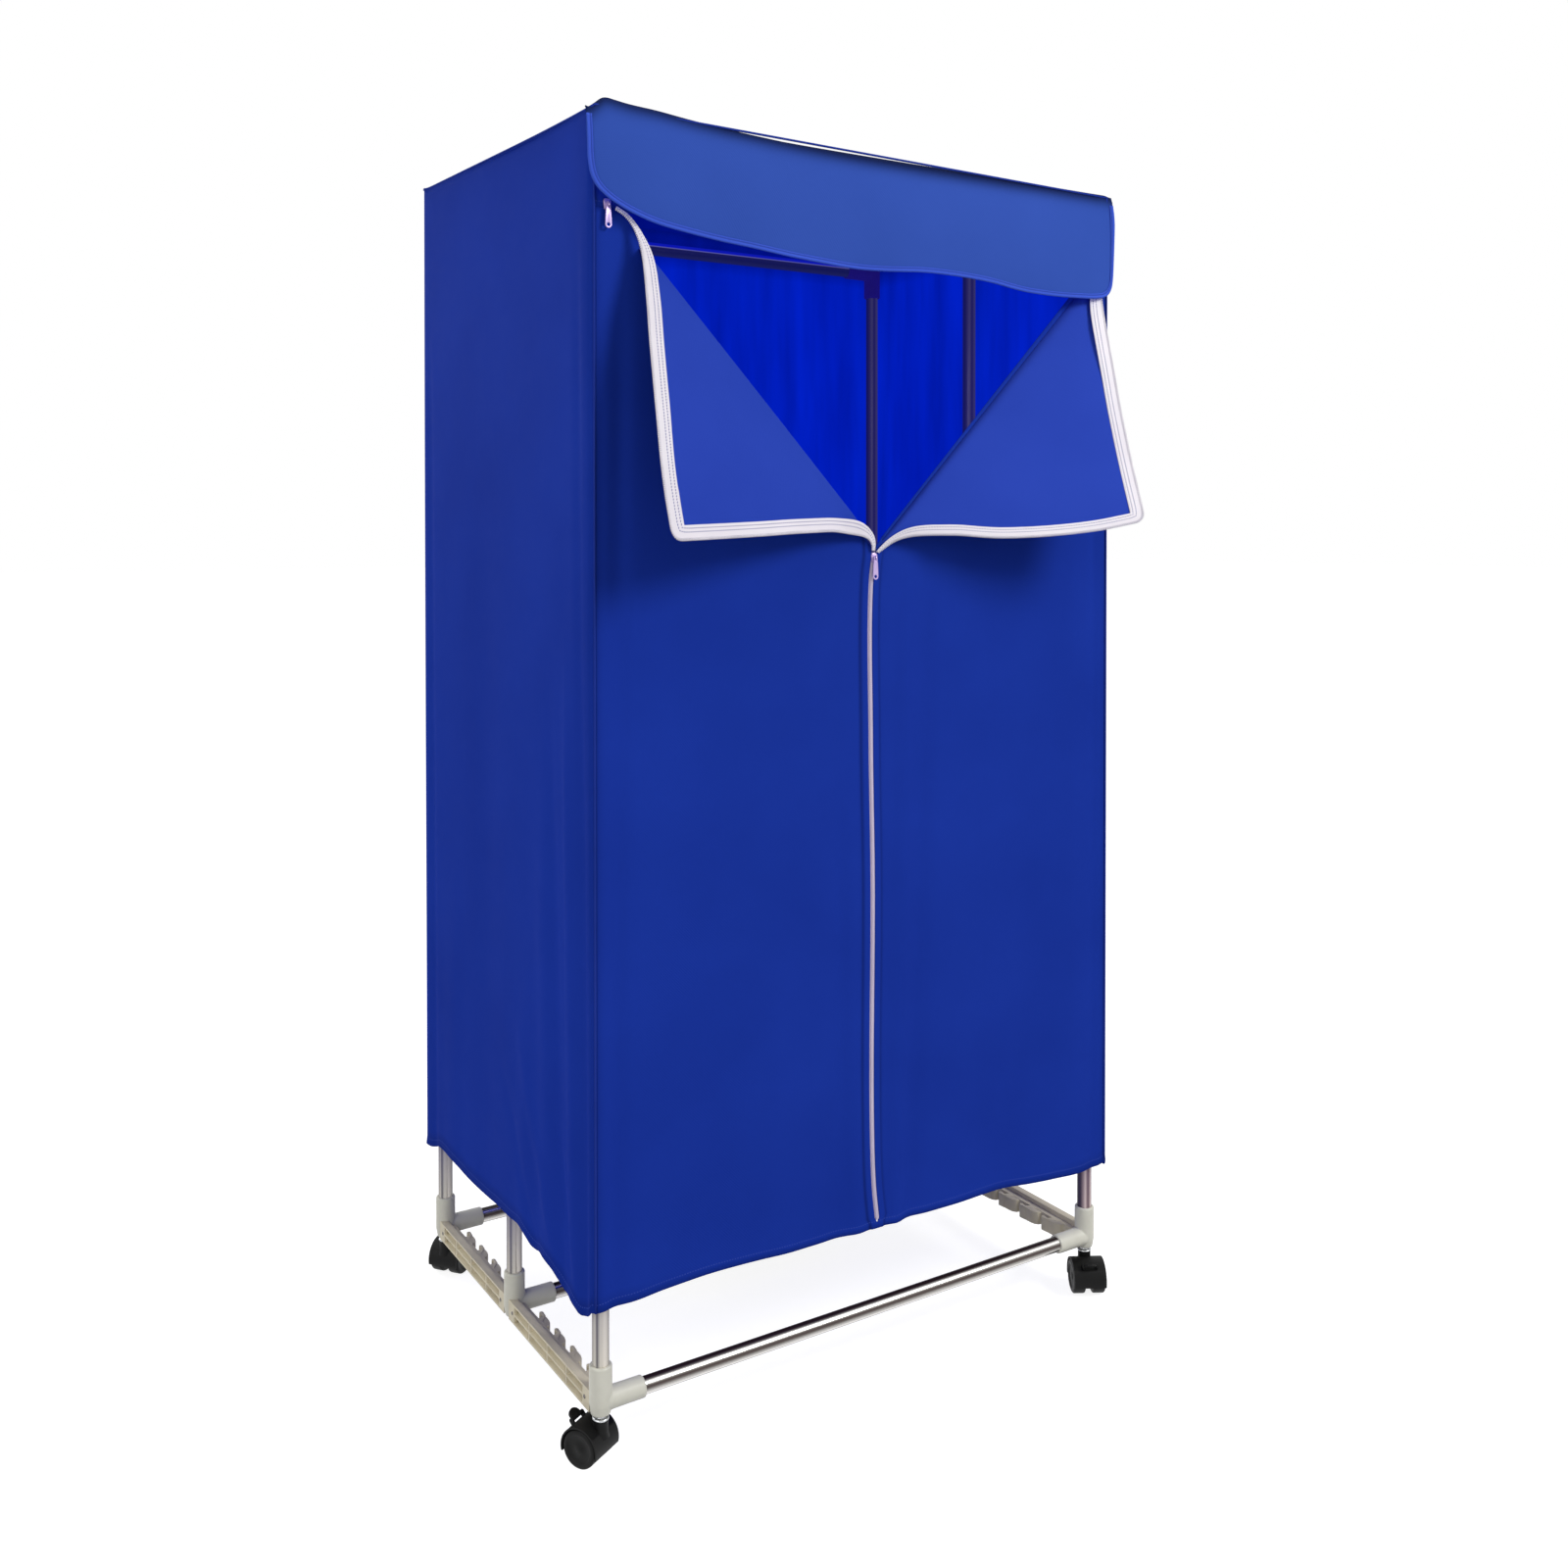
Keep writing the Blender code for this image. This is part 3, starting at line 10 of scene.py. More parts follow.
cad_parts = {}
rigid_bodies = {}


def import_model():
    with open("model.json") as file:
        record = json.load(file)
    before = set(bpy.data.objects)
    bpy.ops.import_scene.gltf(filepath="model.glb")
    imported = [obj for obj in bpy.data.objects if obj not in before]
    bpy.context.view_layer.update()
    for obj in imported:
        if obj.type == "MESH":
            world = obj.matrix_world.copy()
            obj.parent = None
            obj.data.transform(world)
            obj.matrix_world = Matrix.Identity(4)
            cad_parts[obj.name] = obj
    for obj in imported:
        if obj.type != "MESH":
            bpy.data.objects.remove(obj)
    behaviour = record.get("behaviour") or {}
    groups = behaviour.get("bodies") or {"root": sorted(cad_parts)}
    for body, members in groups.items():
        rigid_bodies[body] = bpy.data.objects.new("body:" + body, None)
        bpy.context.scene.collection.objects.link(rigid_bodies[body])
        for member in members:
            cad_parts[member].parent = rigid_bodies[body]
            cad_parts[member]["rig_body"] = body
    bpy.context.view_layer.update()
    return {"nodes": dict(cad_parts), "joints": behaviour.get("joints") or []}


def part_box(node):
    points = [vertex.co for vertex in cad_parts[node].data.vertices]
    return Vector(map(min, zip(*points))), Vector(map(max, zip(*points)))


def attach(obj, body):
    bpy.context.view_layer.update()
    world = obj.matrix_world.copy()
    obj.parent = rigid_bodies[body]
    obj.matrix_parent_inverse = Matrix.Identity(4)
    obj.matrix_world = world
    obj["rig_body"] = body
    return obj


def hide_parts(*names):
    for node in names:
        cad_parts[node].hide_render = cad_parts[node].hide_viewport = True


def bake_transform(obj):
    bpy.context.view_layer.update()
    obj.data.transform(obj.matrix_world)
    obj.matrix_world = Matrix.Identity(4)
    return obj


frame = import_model()
nodes = frame["nodes"]
joints = {joint["name"]: joint for joint in frame["joints"]}


def centreOf(node):
    low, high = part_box(node)
    return (low + high) / 2


# Words joined with each one's first letter as a capital, for the ends of names
def capitals(*words):
    return "".join(word.capitalize() for word in words)


# Places that the cloth and fittings follow, read from the frame
rowY = {row: centreOf("base_rail_" + row).y for row in ("front", "middle", "rear")}
midY = rowY["middle"]
postX = centreOf("post_front_right").x
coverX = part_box("cover_roof")[1].x
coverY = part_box("cover_roof")[1].y - midY
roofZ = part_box("cover_roof")[1].z
sideSign = {"left": -1, "right": 1}

cover = {
    "thickness": 0.0011, "corner": 0.006, "zipLineZ": 1.3585, "mouthZ": 0.995, "mouthX": 0.352, "rows": 130,
    "zipGap": 0.0034, "strip": 0.009, "piping": 0.0013, "hemSeam": 0.0105, "zipMiddle": -0.008,
}
# Hem heights along the front (x, z) and along the left wall (y from the middle row, z), the roof's front edge
# (x, z) and the zip's place (z, x)
frontHem = [
    (-0.379, 0.18), (-0.3745, 0.1778), (-0.367, 0.1768), (-0.347, 0.1782), (-0.312, 0.1806), (-0.275, 0.1814),
    (-0.2, 0.1822), (-0.12, 0.1802), (-0.04, 0.178), (0.05, 0.1773), (0.143, 0.178), (0.192, 0.1775),
    (0.24, 0.1727), (0.292, 0.1694), (0.345, 0.1685), (0.365, 0.17), (0.374, 0.174), (0.379, 0.181),
]
leftHem = [
    (-0.2651, 0.179), (-0.26, 0.1745), (-0.2541, 0.1705), (-0.2441, 0.166), (-0.234, 0.164), (-0.2239, 0.1688),
    (-0.2136, 0.1728), (-0.2032, 0.1736), (-0.1927, 0.1736), (-0.1821, 0.1786), (-0.1714, 0.1836), (-0.1605, 0.1866),
    (-0.1385, 0.1893), (-0.1273, 0.1896), (-0.1159, 0.1864), (-0.1045, 0.1868), (-0.0929, 0.1924), (-0.0812, 0.1966),
    (-0.0693, 0.199), (-0.0573, 0.1977), (-0.0452, 0.196), (0.002, 0.1942), (0.034, 0.1914), (0.097, 0.1909),
    (0.204, 0.1935), (0.255, 0.18),
]
roofFront = [
    (-0.384, 1.462), (-0.378, 1.4652), (-0.37, 1.471), (-0.3615, 1.4774), (-0.356, 1.4785), (-0.348, 1.4776),
    (-0.3322, 1.4757), (-0.2966, 1.4736), (-0.2602, 1.4702), (-0.2228, 1.4672), (-0.1454, 1.4628), (-0.064, 1.46),
    (0.0217, 1.4592), (0.35, 1.4588), (0.3785, 1.4583), (0.3808, 1.457), (0.3822, 1.455), (0.3832, 1.452),
    (0.384, 1.448),
]
zipLine = [
    (0.187, -0.002), (0.23, -0.007), (0.31, -0.01), (0.595, -0.009), (0.77, -0.012), (0.96, -0.0115), (0.987, -0.008),
]


# Curves and points

def unit(vectors):
    return vectors / np.linalg.norm(vectors, axis=-1, keepdims=True)


# Length walked along a path at each of its points
def walked(points):
    return np.concatenate([[0], np.linalg.norm(np.diff(points, axis=0), axis=1).cumsum()])


# Values of rows at places between their own places
def between(at, places, rows):
    return np.stack([np.interp(at, places, rows[:, i]) for i in range(rows.shape[1])], -1)


def bell(value, width):
    return np.exp(-(value / width) ** 2)


# Value of a table of (place, value) at these places, eased between its points by a cubic whose slope at each
# point is the mean of the slopes beside it.
def smoothCurve(table, at):
    table = np.array(sorted(table))
    x, y = table[:, 0], table[:, 1]
    step = np.diff(x)
    slope = np.diff(y) / step
    tangent = np.concatenate([slope[:1], (slope[:-1] + slope[1:]) / 2, slope[-1:]])
    at = np.clip(at, x[0], x[-1])
    i = np.clip(np.searchsorted(x, at) - 1, 0, len(x) - 2)
    t = (at - x[i]) / step[i]
    return (
        (2 * t ** 3 - 3 * t ** 2 + 1) * y[i] + (t ** 3 - 2 * t ** 2 + t) * step[i] * tangent[i]
        + (3 * t ** 2 - 2 * t ** 3) * y[i + 1] + (t ** 3 - t ** 2) * step[i] * tangent[i + 1]
    )


# Quads of a grid of points, as whole arrays: each joins a point, the next column and the next row.
def gridFaces(rows, columns, closeColumns=False):
    index = np.arange(rows * columns).reshape(rows, columns)
    if closeColumns:
        index = np.concatenate([index, index[:, :1]], 1)
    return np.stack([index[:-1, :-1], index[:-1, 1:], index[1:, 1:], index[1:, :-1]], -1).reshape(-1, 4)


def meshPiece(name, points, faces, uv=None, looks=(), smooth=True):
    mesh = bpy.data.meshes.new(name)
    points = np.asarray(points, float).reshape(-1, 3)
    faces = np.asarray(faces)
    mesh.vertices.add(len(points))
    mesh.vertices.foreach_set("co", points.ravel())
    mesh.loops.add(faces.size)
    mesh.loops.foreach_set("vertex_index", faces.ravel())
    mesh.polygons.add(len(faces))
    mesh.polygons.foreach_set("loop_start", np.arange(len(faces)) * faces.shape[1])
    mesh.update(calc_edges=True)
    if uv is not None:
        layer = mesh.uv_layers.new(name="UVMap")
        layer.data.foreach_set("uv", np.asarray(uv, float).reshape(-1, 2)[faces.ravel()].ravel())
    if smooth:
        mesh.shade_smooth()
    return link(name, mesh, looks)


def link(name, mesh, looks=()):
    piece = bpy.data.objects.new(name, mesh)
    bpy.context.scene.collection.objects.link(piece)
    for look in looks:
        mesh.materials.append(look)
    return piece


# Lengths in metres along the rows and up the columns of a grid of points, for a cloth's own UV map.
def gridLengths(points):
    along = np.linalg.norm(np.diff(points, axis=1), axis=-1)
    up = np.linalg.norm(np.diff(points, axis=0), axis=-1)
    u = np.concatenate([np.zeros((len(points), 1)), along.cumsum(1)], 1)
    v = np.concatenate([np.zeros((1, points.shape[1])), up.cumsum(0)], 0)
    return np.stack([u, v], -1)


# Share of shade at each point, from 0 to 1, for the cloth's material
def setDusk(mesh, dusk):
    if dusk is not None:
        layer = mesh.attributes.new("dusk", "FLOAT", "POINT")
        layer.data.foreach_set("value", np.clip(np.asarray(dusk, float), 0, 1).ravel())


# A sheet of cloth through a grid of points on its outer face, with its wall behind them. Without a body, its
# wall is applied.
def clothSheet(name, points, outside, inside, body, replaced, dusk=None):
    lengths = gridLengths(points)
    piece = meshPiece(name, points, gridFaces(*points.shape[:2]), lengths, (outside, inside, outside))
    setDusk(piece.data, None if dusk is None else np.broadcast_to(dusk, points.shape[:2]))
    wall = piece.modifiers.new("wall", "SOLIDIFY")
    wall.thickness = cover["thickness"]
    wall.offset = -1
    wall.use_even_offset = False
    wall.material_offset = 1
    wall.material_offset_rim = 0
    if body:
        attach(piece, body)
    else:
        finished(piece)
    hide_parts(*replaced)
    return piece


def fade(value, start, end):
    share = np.clip((value - start) / (end - start), 0, 1)
    return share ** 2 * (3 - 2 * share)


# Points every so often along a path
def evenPath(points, spacing):
    points = np.asarray(points, float)
    length = walked(points)
    return between(np.linspace(0, length[-1], max(2, int(round(length[-1] / spacing)) + 1)), length, points)


# A path with its bends eased by a 1-2-1 mean
def smoothPath(points, times):
    points = np.array(points, float)
    for _ in range(times):
        points[1:-1] = (points[:-2] + 2 * points[1:-1] + points[2:]) / 4
    return points


# A ribbon through rows of points, with a wall either side of them
def ribbon(name, points, thickness, look, body, uv=None, dusk=None):
    points = np.asarray(points)
    lengths = gridLengths(points) if uv is None else uv
    piece = meshPiece(name, points, gridFaces(*points.shape[:2]), lengths, (look,))
    setDusk(piece.data, dusk)
    wall = piece.modifiers.new("wall", "SOLIDIFY")
    wall.thickness = thickness
    wall.offset = 0
    finished(piece)
    fixNormals(piece.data)
    if body:
        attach(piece, body)
    return piece


# A round bead along a path: at each point a circle stands square to the path, as radius x (cos, sin).
def bead(name, path, radius, look, body, sides=10):
    path = np.asarray(path, float)
    along = unit(np.gradient(path, axis=0))
    steep = np.abs(along[:, 2:3]) > 0.7
    first = unit(np.cross(along, np.where(steep, [[0.0, 1.0, 0.0]], [[0.0, 0.0, 1.0]])))
    second = np.cross(along, first)
    turn = np.linspace(0, 2 * math.pi, sides, endpoint=False)[None, :, None]
    ring = path[:, None] + radius * (np.cos(turn) * first[:, None] + np.sin(turn) * second[:, None])
    count = len(path)
    points = np.concatenate([ring.reshape(-1, 3), path[:1], path[-1:]])
    quads = gridFaces(count, sides, closeColumns=True)
    i = np.arange(sides)
    j = (i + 1) % sides
    last = (count - 1) * sides
    startCap = np.stack([np.full(sides, count * sides), j, i], -1)
    endCap = np.stack([np.full(sides, count * sides + 1), last + i, last + j], -1)
    mesh = bpy.data.meshes.new(name)
    mesh.from_pydata(points.tolist(), [], [list(face) for part in (quads, startCap, endCap) for face in part])
    fixNormals(mesh)
    mesh.shade_smooth()
    piece = link(name, mesh, (look,))
    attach(piece, body)
    return piece


def fixNormals(mesh, merge=0.0):
    work = bmesh.new()
    work.from_mesh(mesh)
    if merge:
        bmesh.ops.remove_doubles(work, verts=work.verts, dist=merge)
    bmesh.ops.recalc_face_normals(work, faces=work.faces)
    work.to_mesh(mesh)
    work.free()
    return mesh


# A profile of (radius, height) carried round Z: point = (radius cos a, radius sin a, height).
def latheMesh(name, profile, steps=64):
    profile = np.asarray(profile, float)
    turn = np.linspace(0, 2 * math.pi, steps, endpoint=False)
    points = np.stack([
        profile[:, None, 0] * np.cos(turn), profile[:, None, 0] * np.sin(turn),
        np.broadcast_to(profile[:, None, 1], (len(profile), steps)),
    ], -1)
    mesh = bpy.data.meshes.new(name)
    mesh.from_pydata(points.reshape(-1, 3).tolist(), [], gridFaces(len(profile), steps, closeColumns=True).tolist())
    return fixNormals(mesh, 1e-6)


def placeAlong(mesh, start, end):
    along = Vector(end) - Vector(start)
    mesh.transform(Matrix.Translation(Vector(start)) @ along.to_track_quat("Z", "Y").to_matrix().to_4x4())
    return mesh


# The piece with its modifiers applied, so that its mesh is what shows.
def finished(piece):
    bpy.context.view_layer.update()
    mesh = bpy.data.meshes.new_from_object(piece.evaluated_get(bpy.context.evaluated_depsgraph_get()))
    piece.modifiers.clear()
    piece.data = mesh
    return piece


def helper(mesh):
    return link("helper", mesh)


# The mesh of a helper whose object is no longer needed
def released(piece):
    mesh = piece.data
    bpy.data.objects.remove(piece)
    return mesh


def joined(*meshes):
    work = bmesh.new()
    for mesh in meshes:
        work.from_mesh(mesh)
    mesh = bpy.data.meshes.new("joined")
    work.to_mesh(mesh)
    work.free()
    return mesh


# Cuts a mesh out of a piece, or joins it on, and applies the result.
def carve(piece, mesh, operation="DIFFERENCE"):
    other = helper(mesh)
    change = piece.modifiers.new("carve", "BOOLEAN")
    change.operation = operation
    change.solver = "EXACT"
    change.object = other
    finished(piece)
    bpy.data.objects.remove(other)
    return piece


def drum(radius, start, end, steps=64):
    length = (Vector(end) - Vector(start)).length
    mesh = latheMesh("drum", [(0, 0), (radius, 0), (radius, length), (0, length)], steps)
    return placeAlong(mesh, start, end)


def block(low, high):
    mesh = bpy.data.meshes.new("block")
    work = bmesh.new()
    middle, size = (Vector(low) + Vector(high)) / 2, Vector(high) - Vector(low)
    bmesh.ops.create_cube(work, size=1, matrix=Matrix.Translation(middle) @ Matrix.Diagonal((*size, 1)))
    work.to_mesh(mesh)
    work.free()
    return mesh


# Smooth shading that stays crisp over edges sharper than this many degrees
def evenShading(mesh, sharp=50):
    mesh.shade_smooth()
    mesh.set_sharp_from_angle(angle=math.radians(sharp))


# Rounded edges and even shading, applied.
def softened(piece, width, angle=30):
    bevel = piece.modifiers.new("edges", "BEVEL")
    bevel.width = width
    bevel.segments = 2
    bevel.limit_method = "ANGLE"
    bevel.angle_limit = math.radians(angle)
    bevel.harden_normals = False
    finished(piece)
    evenShading(piece.data)
    return piece


# A copy of a CAD node with its loose triangles merged, flat faces joined and edges rounded.
def moulded(name, node, look, width, added=None):
    mesh = nodes[node].data.copy()
    mesh.materials.clear()
    work = bmesh.new()
    work.from_mesh(mesh)
    bmesh.ops.remove_doubles(work, verts=work.verts, dist=1e-6)
    bmesh.ops.dissolve_limit(work, angle_limit=math.radians(1.0), verts=work.verts, edges=work.edges)
    work.to_mesh(mesh)
    work.free()
    piece = link(name, mesh, (look,))
    if added:
        carve(piece, added, "UNION")
        piece.data.materials.clear()
        piece.data.materials.append(look)
    softened(piece, width)
    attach(piece, nodes[node]["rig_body"])
    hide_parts(node)
    return piece


# Materials: shared effects are groups, the shader and its fixed values stay in each material

def nodeGroup(name, inputs, outputs):
    group = bpy.data.node_groups.new(name, "ShaderNodeTree")
    for label, kind, value in inputs:
        socket = group.interface.new_socket(label, in_out="INPUT", socket_type=kind)
        if value is not None:
            socket.default_value = value
    for label, kind in outputs:
        group.interface.new_socket(label, in_out="OUTPUT", socket_type=kind)
    return group, group.nodes.new("NodeGroupInput"), group.nodes.new("NodeGroupOutput")


def addNode(tree, kind, **settings):
    made = tree.nodes.new(kind)
    for key, value in settings.items():
        if key.startswith("in_"):
            made.inputs[key[3:].replace("_", " ")].default_value = value
        else:
            setattr(made, key, value)
    return made


def mathNode(tree, operation, first, second=None):
    made = tree.nodes.new("ShaderNodeMath")
    made.operation = operation
    for i, value in enumerate((first, second)):
        if value is None:
            continue
        if isinstance(value, (int, float)):
            made.inputs[i].default_value = value
        else:
            tree.links.new(value, made.inputs[i])
    return made.outputs[0]


def mixColours(tree, factor, first, second):
    made = tree.nodes.new("ShaderNodeMix")
    made.data_type = "RGBA"
    for i, value in ((0, factor), (6, first), (7, second)):
        if isinstance(value, (tuple, float)):
            made.inputs[i].default_value = (*value, 1) if isinstance(value, tuple) else value
        else:
            tree.links.new(value, made.inputs[i])
    return made.outputs[2]


def stretched(tree, source, scale):
    made = addNode(tree, "ShaderNodeMapping", in_Scale=scale)
    tree.links.new(source, made.inputs["Vector"])
    return made.outputs[0]


def ranged(tree, source, **limits):
    made = addNode(tree, "ShaderNodeMapRange", **limits)
    tree.links.new(source, made.inputs["Value"])
    return made.outputs[0]


# Plain weave: sine of the place across times sine of the place up, on the cloth's own map in metres
def weaveGroup():
    group, entry, end = nodeGroup(
        "plainWeave",
        [("Map", "NodeSocketVector", None), ("Yarns", "NodeSocketFloat", 1800.0)],
        [("Height", "NodeSocketFloat")],
    )
    split = group.nodes.new("ShaderNodeSeparateXYZ")
    group.links.new(entry.outputs["Map"], split.inputs[0])
    waves = [
        mathNode(group, "SINE", mathNode(group, "MULTIPLY", split.outputs[i], entry.outputs["Yarns"]))
        for i in (0, 1)
    ]
    group.links.new(mathNode(group, "MULTIPLY", *waves), end.inputs["Height"])
    return group


# Slow uneven tone and fine grain: two noises, the first for colour and the second for roughness
def mottleGroup():
    group, entry, end = nodeGroup(
        "mottle",
        [
            ("Map", "NodeSocketVector", None), ("Light", "NodeSocketColor", None),
            ("Dark", "NodeSocketColor", None), ("Scale", "NodeSocketFloat", 6.0),
            ("Rough low", "NodeSocketFloat", 0.5), ("Rough high", "NodeSocketFloat", 0.7),
        ],
        [("Colour", "NodeSocketColor"), ("Roughness", "NodeSocketFloat"), ("Grain", "NodeSocketFloat")],
    )
    slow = addNode(group, "ShaderNodeTexNoise", in_Detail=3.0, in_Roughness=0.55)
    group.links.new(entry.outputs["Map"], slow.inputs["Vector"])
    group.links.new(entry.outputs["Scale"], slow.inputs["Scale"])
    fine = addNode(group, "ShaderNodeTexNoise", in_Detail=4.0, in_Roughness=0.6)
    group.links.new(entry.outputs["Map"], fine.inputs["Vector"])
    group.links.new(mathNode(group, "MULTIPLY", entry.outputs["Scale"], 14.0), fine.inputs["Scale"])
    spread = ranged(group, slow.outputs["Fac"], in_From_Min=0.3, in_From_Max=0.7)
    colour = mixColours(group, spread, entry.outputs["Dark"], entry.outputs["Light"])
    rough = group.nodes.new("ShaderNodeMapRange")
    group.links.new(fine.outputs["Fac"], rough.inputs["Value"])
    group.links.new(entry.outputs["Rough low"], rough.inputs["To Min"])
    group.links.new(entry.outputs["Rough high"], rough.inputs["To Max"])
    group.links.new(colour, end.inputs["Colour"])
    group.links.new(rough.outputs[0], end.inputs["Roughness"])
    group.links.new(fine.outputs["Fac"], end.inputs["Grain"])
    return group


# A row of stitches: 1 where the map's second direction is within half a thread of the row, and the sine
# along the first direction is above a limit
def stitchGroup():
    group, entry, end = nodeGroup(
        "stitchRow",
        [
            ("Map", "NodeSocketVector", None), ("Row", "NodeSocketFloat", 0.01),
            ("Pitch", "NodeSocketFloat", 0.0034), ("Thread", "NodeSocketFloat", 0.0006),
        ],
        [("Mask", "NodeSocketFloat")],
    )
    split = group.nodes.new("ShaderNodeSeparateXYZ")
    group.links.new(entry.outputs["Map"], split.inputs[0])
    off = mathNode(group, "ABSOLUTE", mathNode(group, "SUBTRACT", split.outputs[1], entry.outputs["Row"]))
    near = mathNode(group, "LESS_THAN", off, entry.outputs["Thread"])
    turns = mathNode(group, "DIVIDE", split.outputs[0], entry.outputs["Pitch"])
    wave = mathNode(group, "SINE", mathNode(group, "MULTIPLY", turns, 2 * math.pi))
    shown = mathNode(group, "GREATER_THAN", wave, -0.1)
    group.links.new(mathNode(group, "MULTIPLY", near, shown), end.inputs["Mask"])
    return group


plainWeave = weaveGroup()
mottle = mottleGroup()
stitchRow = stitchGroup()


def newMaterial(name):
    made = bpy.data.materials.new(name)
    made.use_nodes = True
    return made, made.node_tree, made.node_tree.nodes["Principled BSDF"]


def addGroup(tree, shared, source):
    group = addNode(tree, "ShaderNodeGroup", node_tree=shared)
    tree.links.new(source, group.inputs["Map"])
    return group


def mottledTone(tree, source, light, dark, scale, rough=None):
    group = addGroup(tree, mottle, source)
    group.inputs["Light"].default_value = (*light, 1)
    group.inputs["Dark"].default_value = (*dark, 1)
    group.inputs["Scale"].default_value = scale
    if rough:
        group.inputs["Rough low"].default_value, group.inputs["Rough high"].default_value = rough
    return group


def bumped(tree, shader, height, strength, distance):
    bump = addNode(tree, "ShaderNodeBump", in_Strength=strength, in_Distance=distance)
    tree.links.new(height, bump.inputs["Height"])
    tree.links.new(bump.outputs["Normal"], shader.inputs["Normal"])


# Heights between which the lining darkens under the roof, and the share of light left there
roofShade = {"start": 1.408, "end": 1.44, "least": 0.42}


# Coated cloth: soft uneven tone, weave, rows of stitches, and the attribute "dusk", which is 1 where a crease,
# a roll or a seam keeps the light off and 0 elsewhere
def clothLook(name, light, dark, rough=(0.62, 0.8), shade=(0.004, 0.008, 0.06), stitches=(), thread=None,
              glow=None, specular=0.012):
    made, tree, shader = newMaterial(name)
    place = tree.nodes.new("ShaderNodeTexCoord")
    group = mottledTone(tree, place.outputs["Object"], light, dark, 5.0, rough)
    dusk = addNode(tree, "ShaderNodeAttribute", attribute_name="dusk")
    colour = mixColours(tree, dusk.outputs["Fac"], group.outputs["Colour"], shade)
    for row in stitches:
        sewn = addGroup(tree, stitchRow, place.outputs["UV"])
        sewn.inputs["Row"].default_value = row
        colour = mixColours(tree, sewn.outputs["Mask"], colour, thread)
    tree.links.new(colour, shader.inputs["Base Color"])
    tree.links.new(group.outputs["Roughness"], shader.inputs["Roughness"])
    weave = addGroup(tree, plainWeave, place.outputs["UV"])
    woven = mathNode(tree, "MULTIPLY", weave.outputs["Height"], 0.25)
    grain = mathNode(tree, "MULTIPLY", group.outputs["Grain"], 0.9)
    bumped(tree, shader, mathNode(tree, "ADD", woven, grain), 0.25, 0.0004)
    # Painted glow: the lining's emission stands for light that comes through the cloth from outside
    if glow:  # light that comes through the cloth from outside
        drop = stretched(tree, place.outputs["UV"], (1.0, 0.1, 1.0))
        lit = mottledTone(tree, drop, *glow, 26.0)
        seen = mixColours(tree, dusk.outputs["Fac"], lit.outputs["Colour"], shade)
        # It fades towards the base, where the cover is open to the floor, and close under the roof
        height = tree.nodes.new("ShaderNodeSeparateXYZ")
        tree.links.new(place.outputs["Object"], height.inputs[0])
        high = ranged(tree, height.outputs[2], in_From_Min=0.45, in_From_Max=0.95)
        under = ranged(
            tree, height.outputs[2], in_From_Min=roofShade["start"], in_From_Max=roofShade["end"], in_To_Min=1.0,
            in_To_Max=roofShade["least"],
        )
        share = mathNode(tree, "MULTIPLY", high, under)
        tree.links.new(mixColours(tree, share, (0.0, 0.0, 0.0), seen), shader.inputs["Emission Color"])
        shader.inputs["Emission Strength"].default_value = 0.8
    shader.inputs["Specular IOR Level"].default_value = specular
    return made


def plasticLook(name, light, dark, rough, scale=40.0, bump=0.08, specular=0.5, glow=None):
    made, tree, shader = newMaterial(name)
    place = tree.nodes.new("ShaderNodeTexCoord")
    group = mottledTone(tree, place.outputs["Object"], light, dark, scale, rough)
    tree.links.new(group.outputs["Colour"], shader.inputs["Base Color"])
    tree.links.new(group.outputs["Roughness"], shader.inputs["Roughness"])
    bumped(tree, shader, group.outputs["Grain"], bump, 0.0003)
    shader.inputs["Specular IOR Level"].default_value = specular
    if glow:
        shader.inputs["Emission Color"].default_value = (*glow, 1)
        shader.inputs["Emission Strength"].default_value = 1.0
    return made


def metalLook(name, light, dark, rough, scale=8.0, metallic=1.0):
    made = plasticLook(name, light, dark, rough, scale, 0.02)
    made.node_tree.nodes["Principled BSDF"].inputs["Metallic"].default_value = metallic
    return made
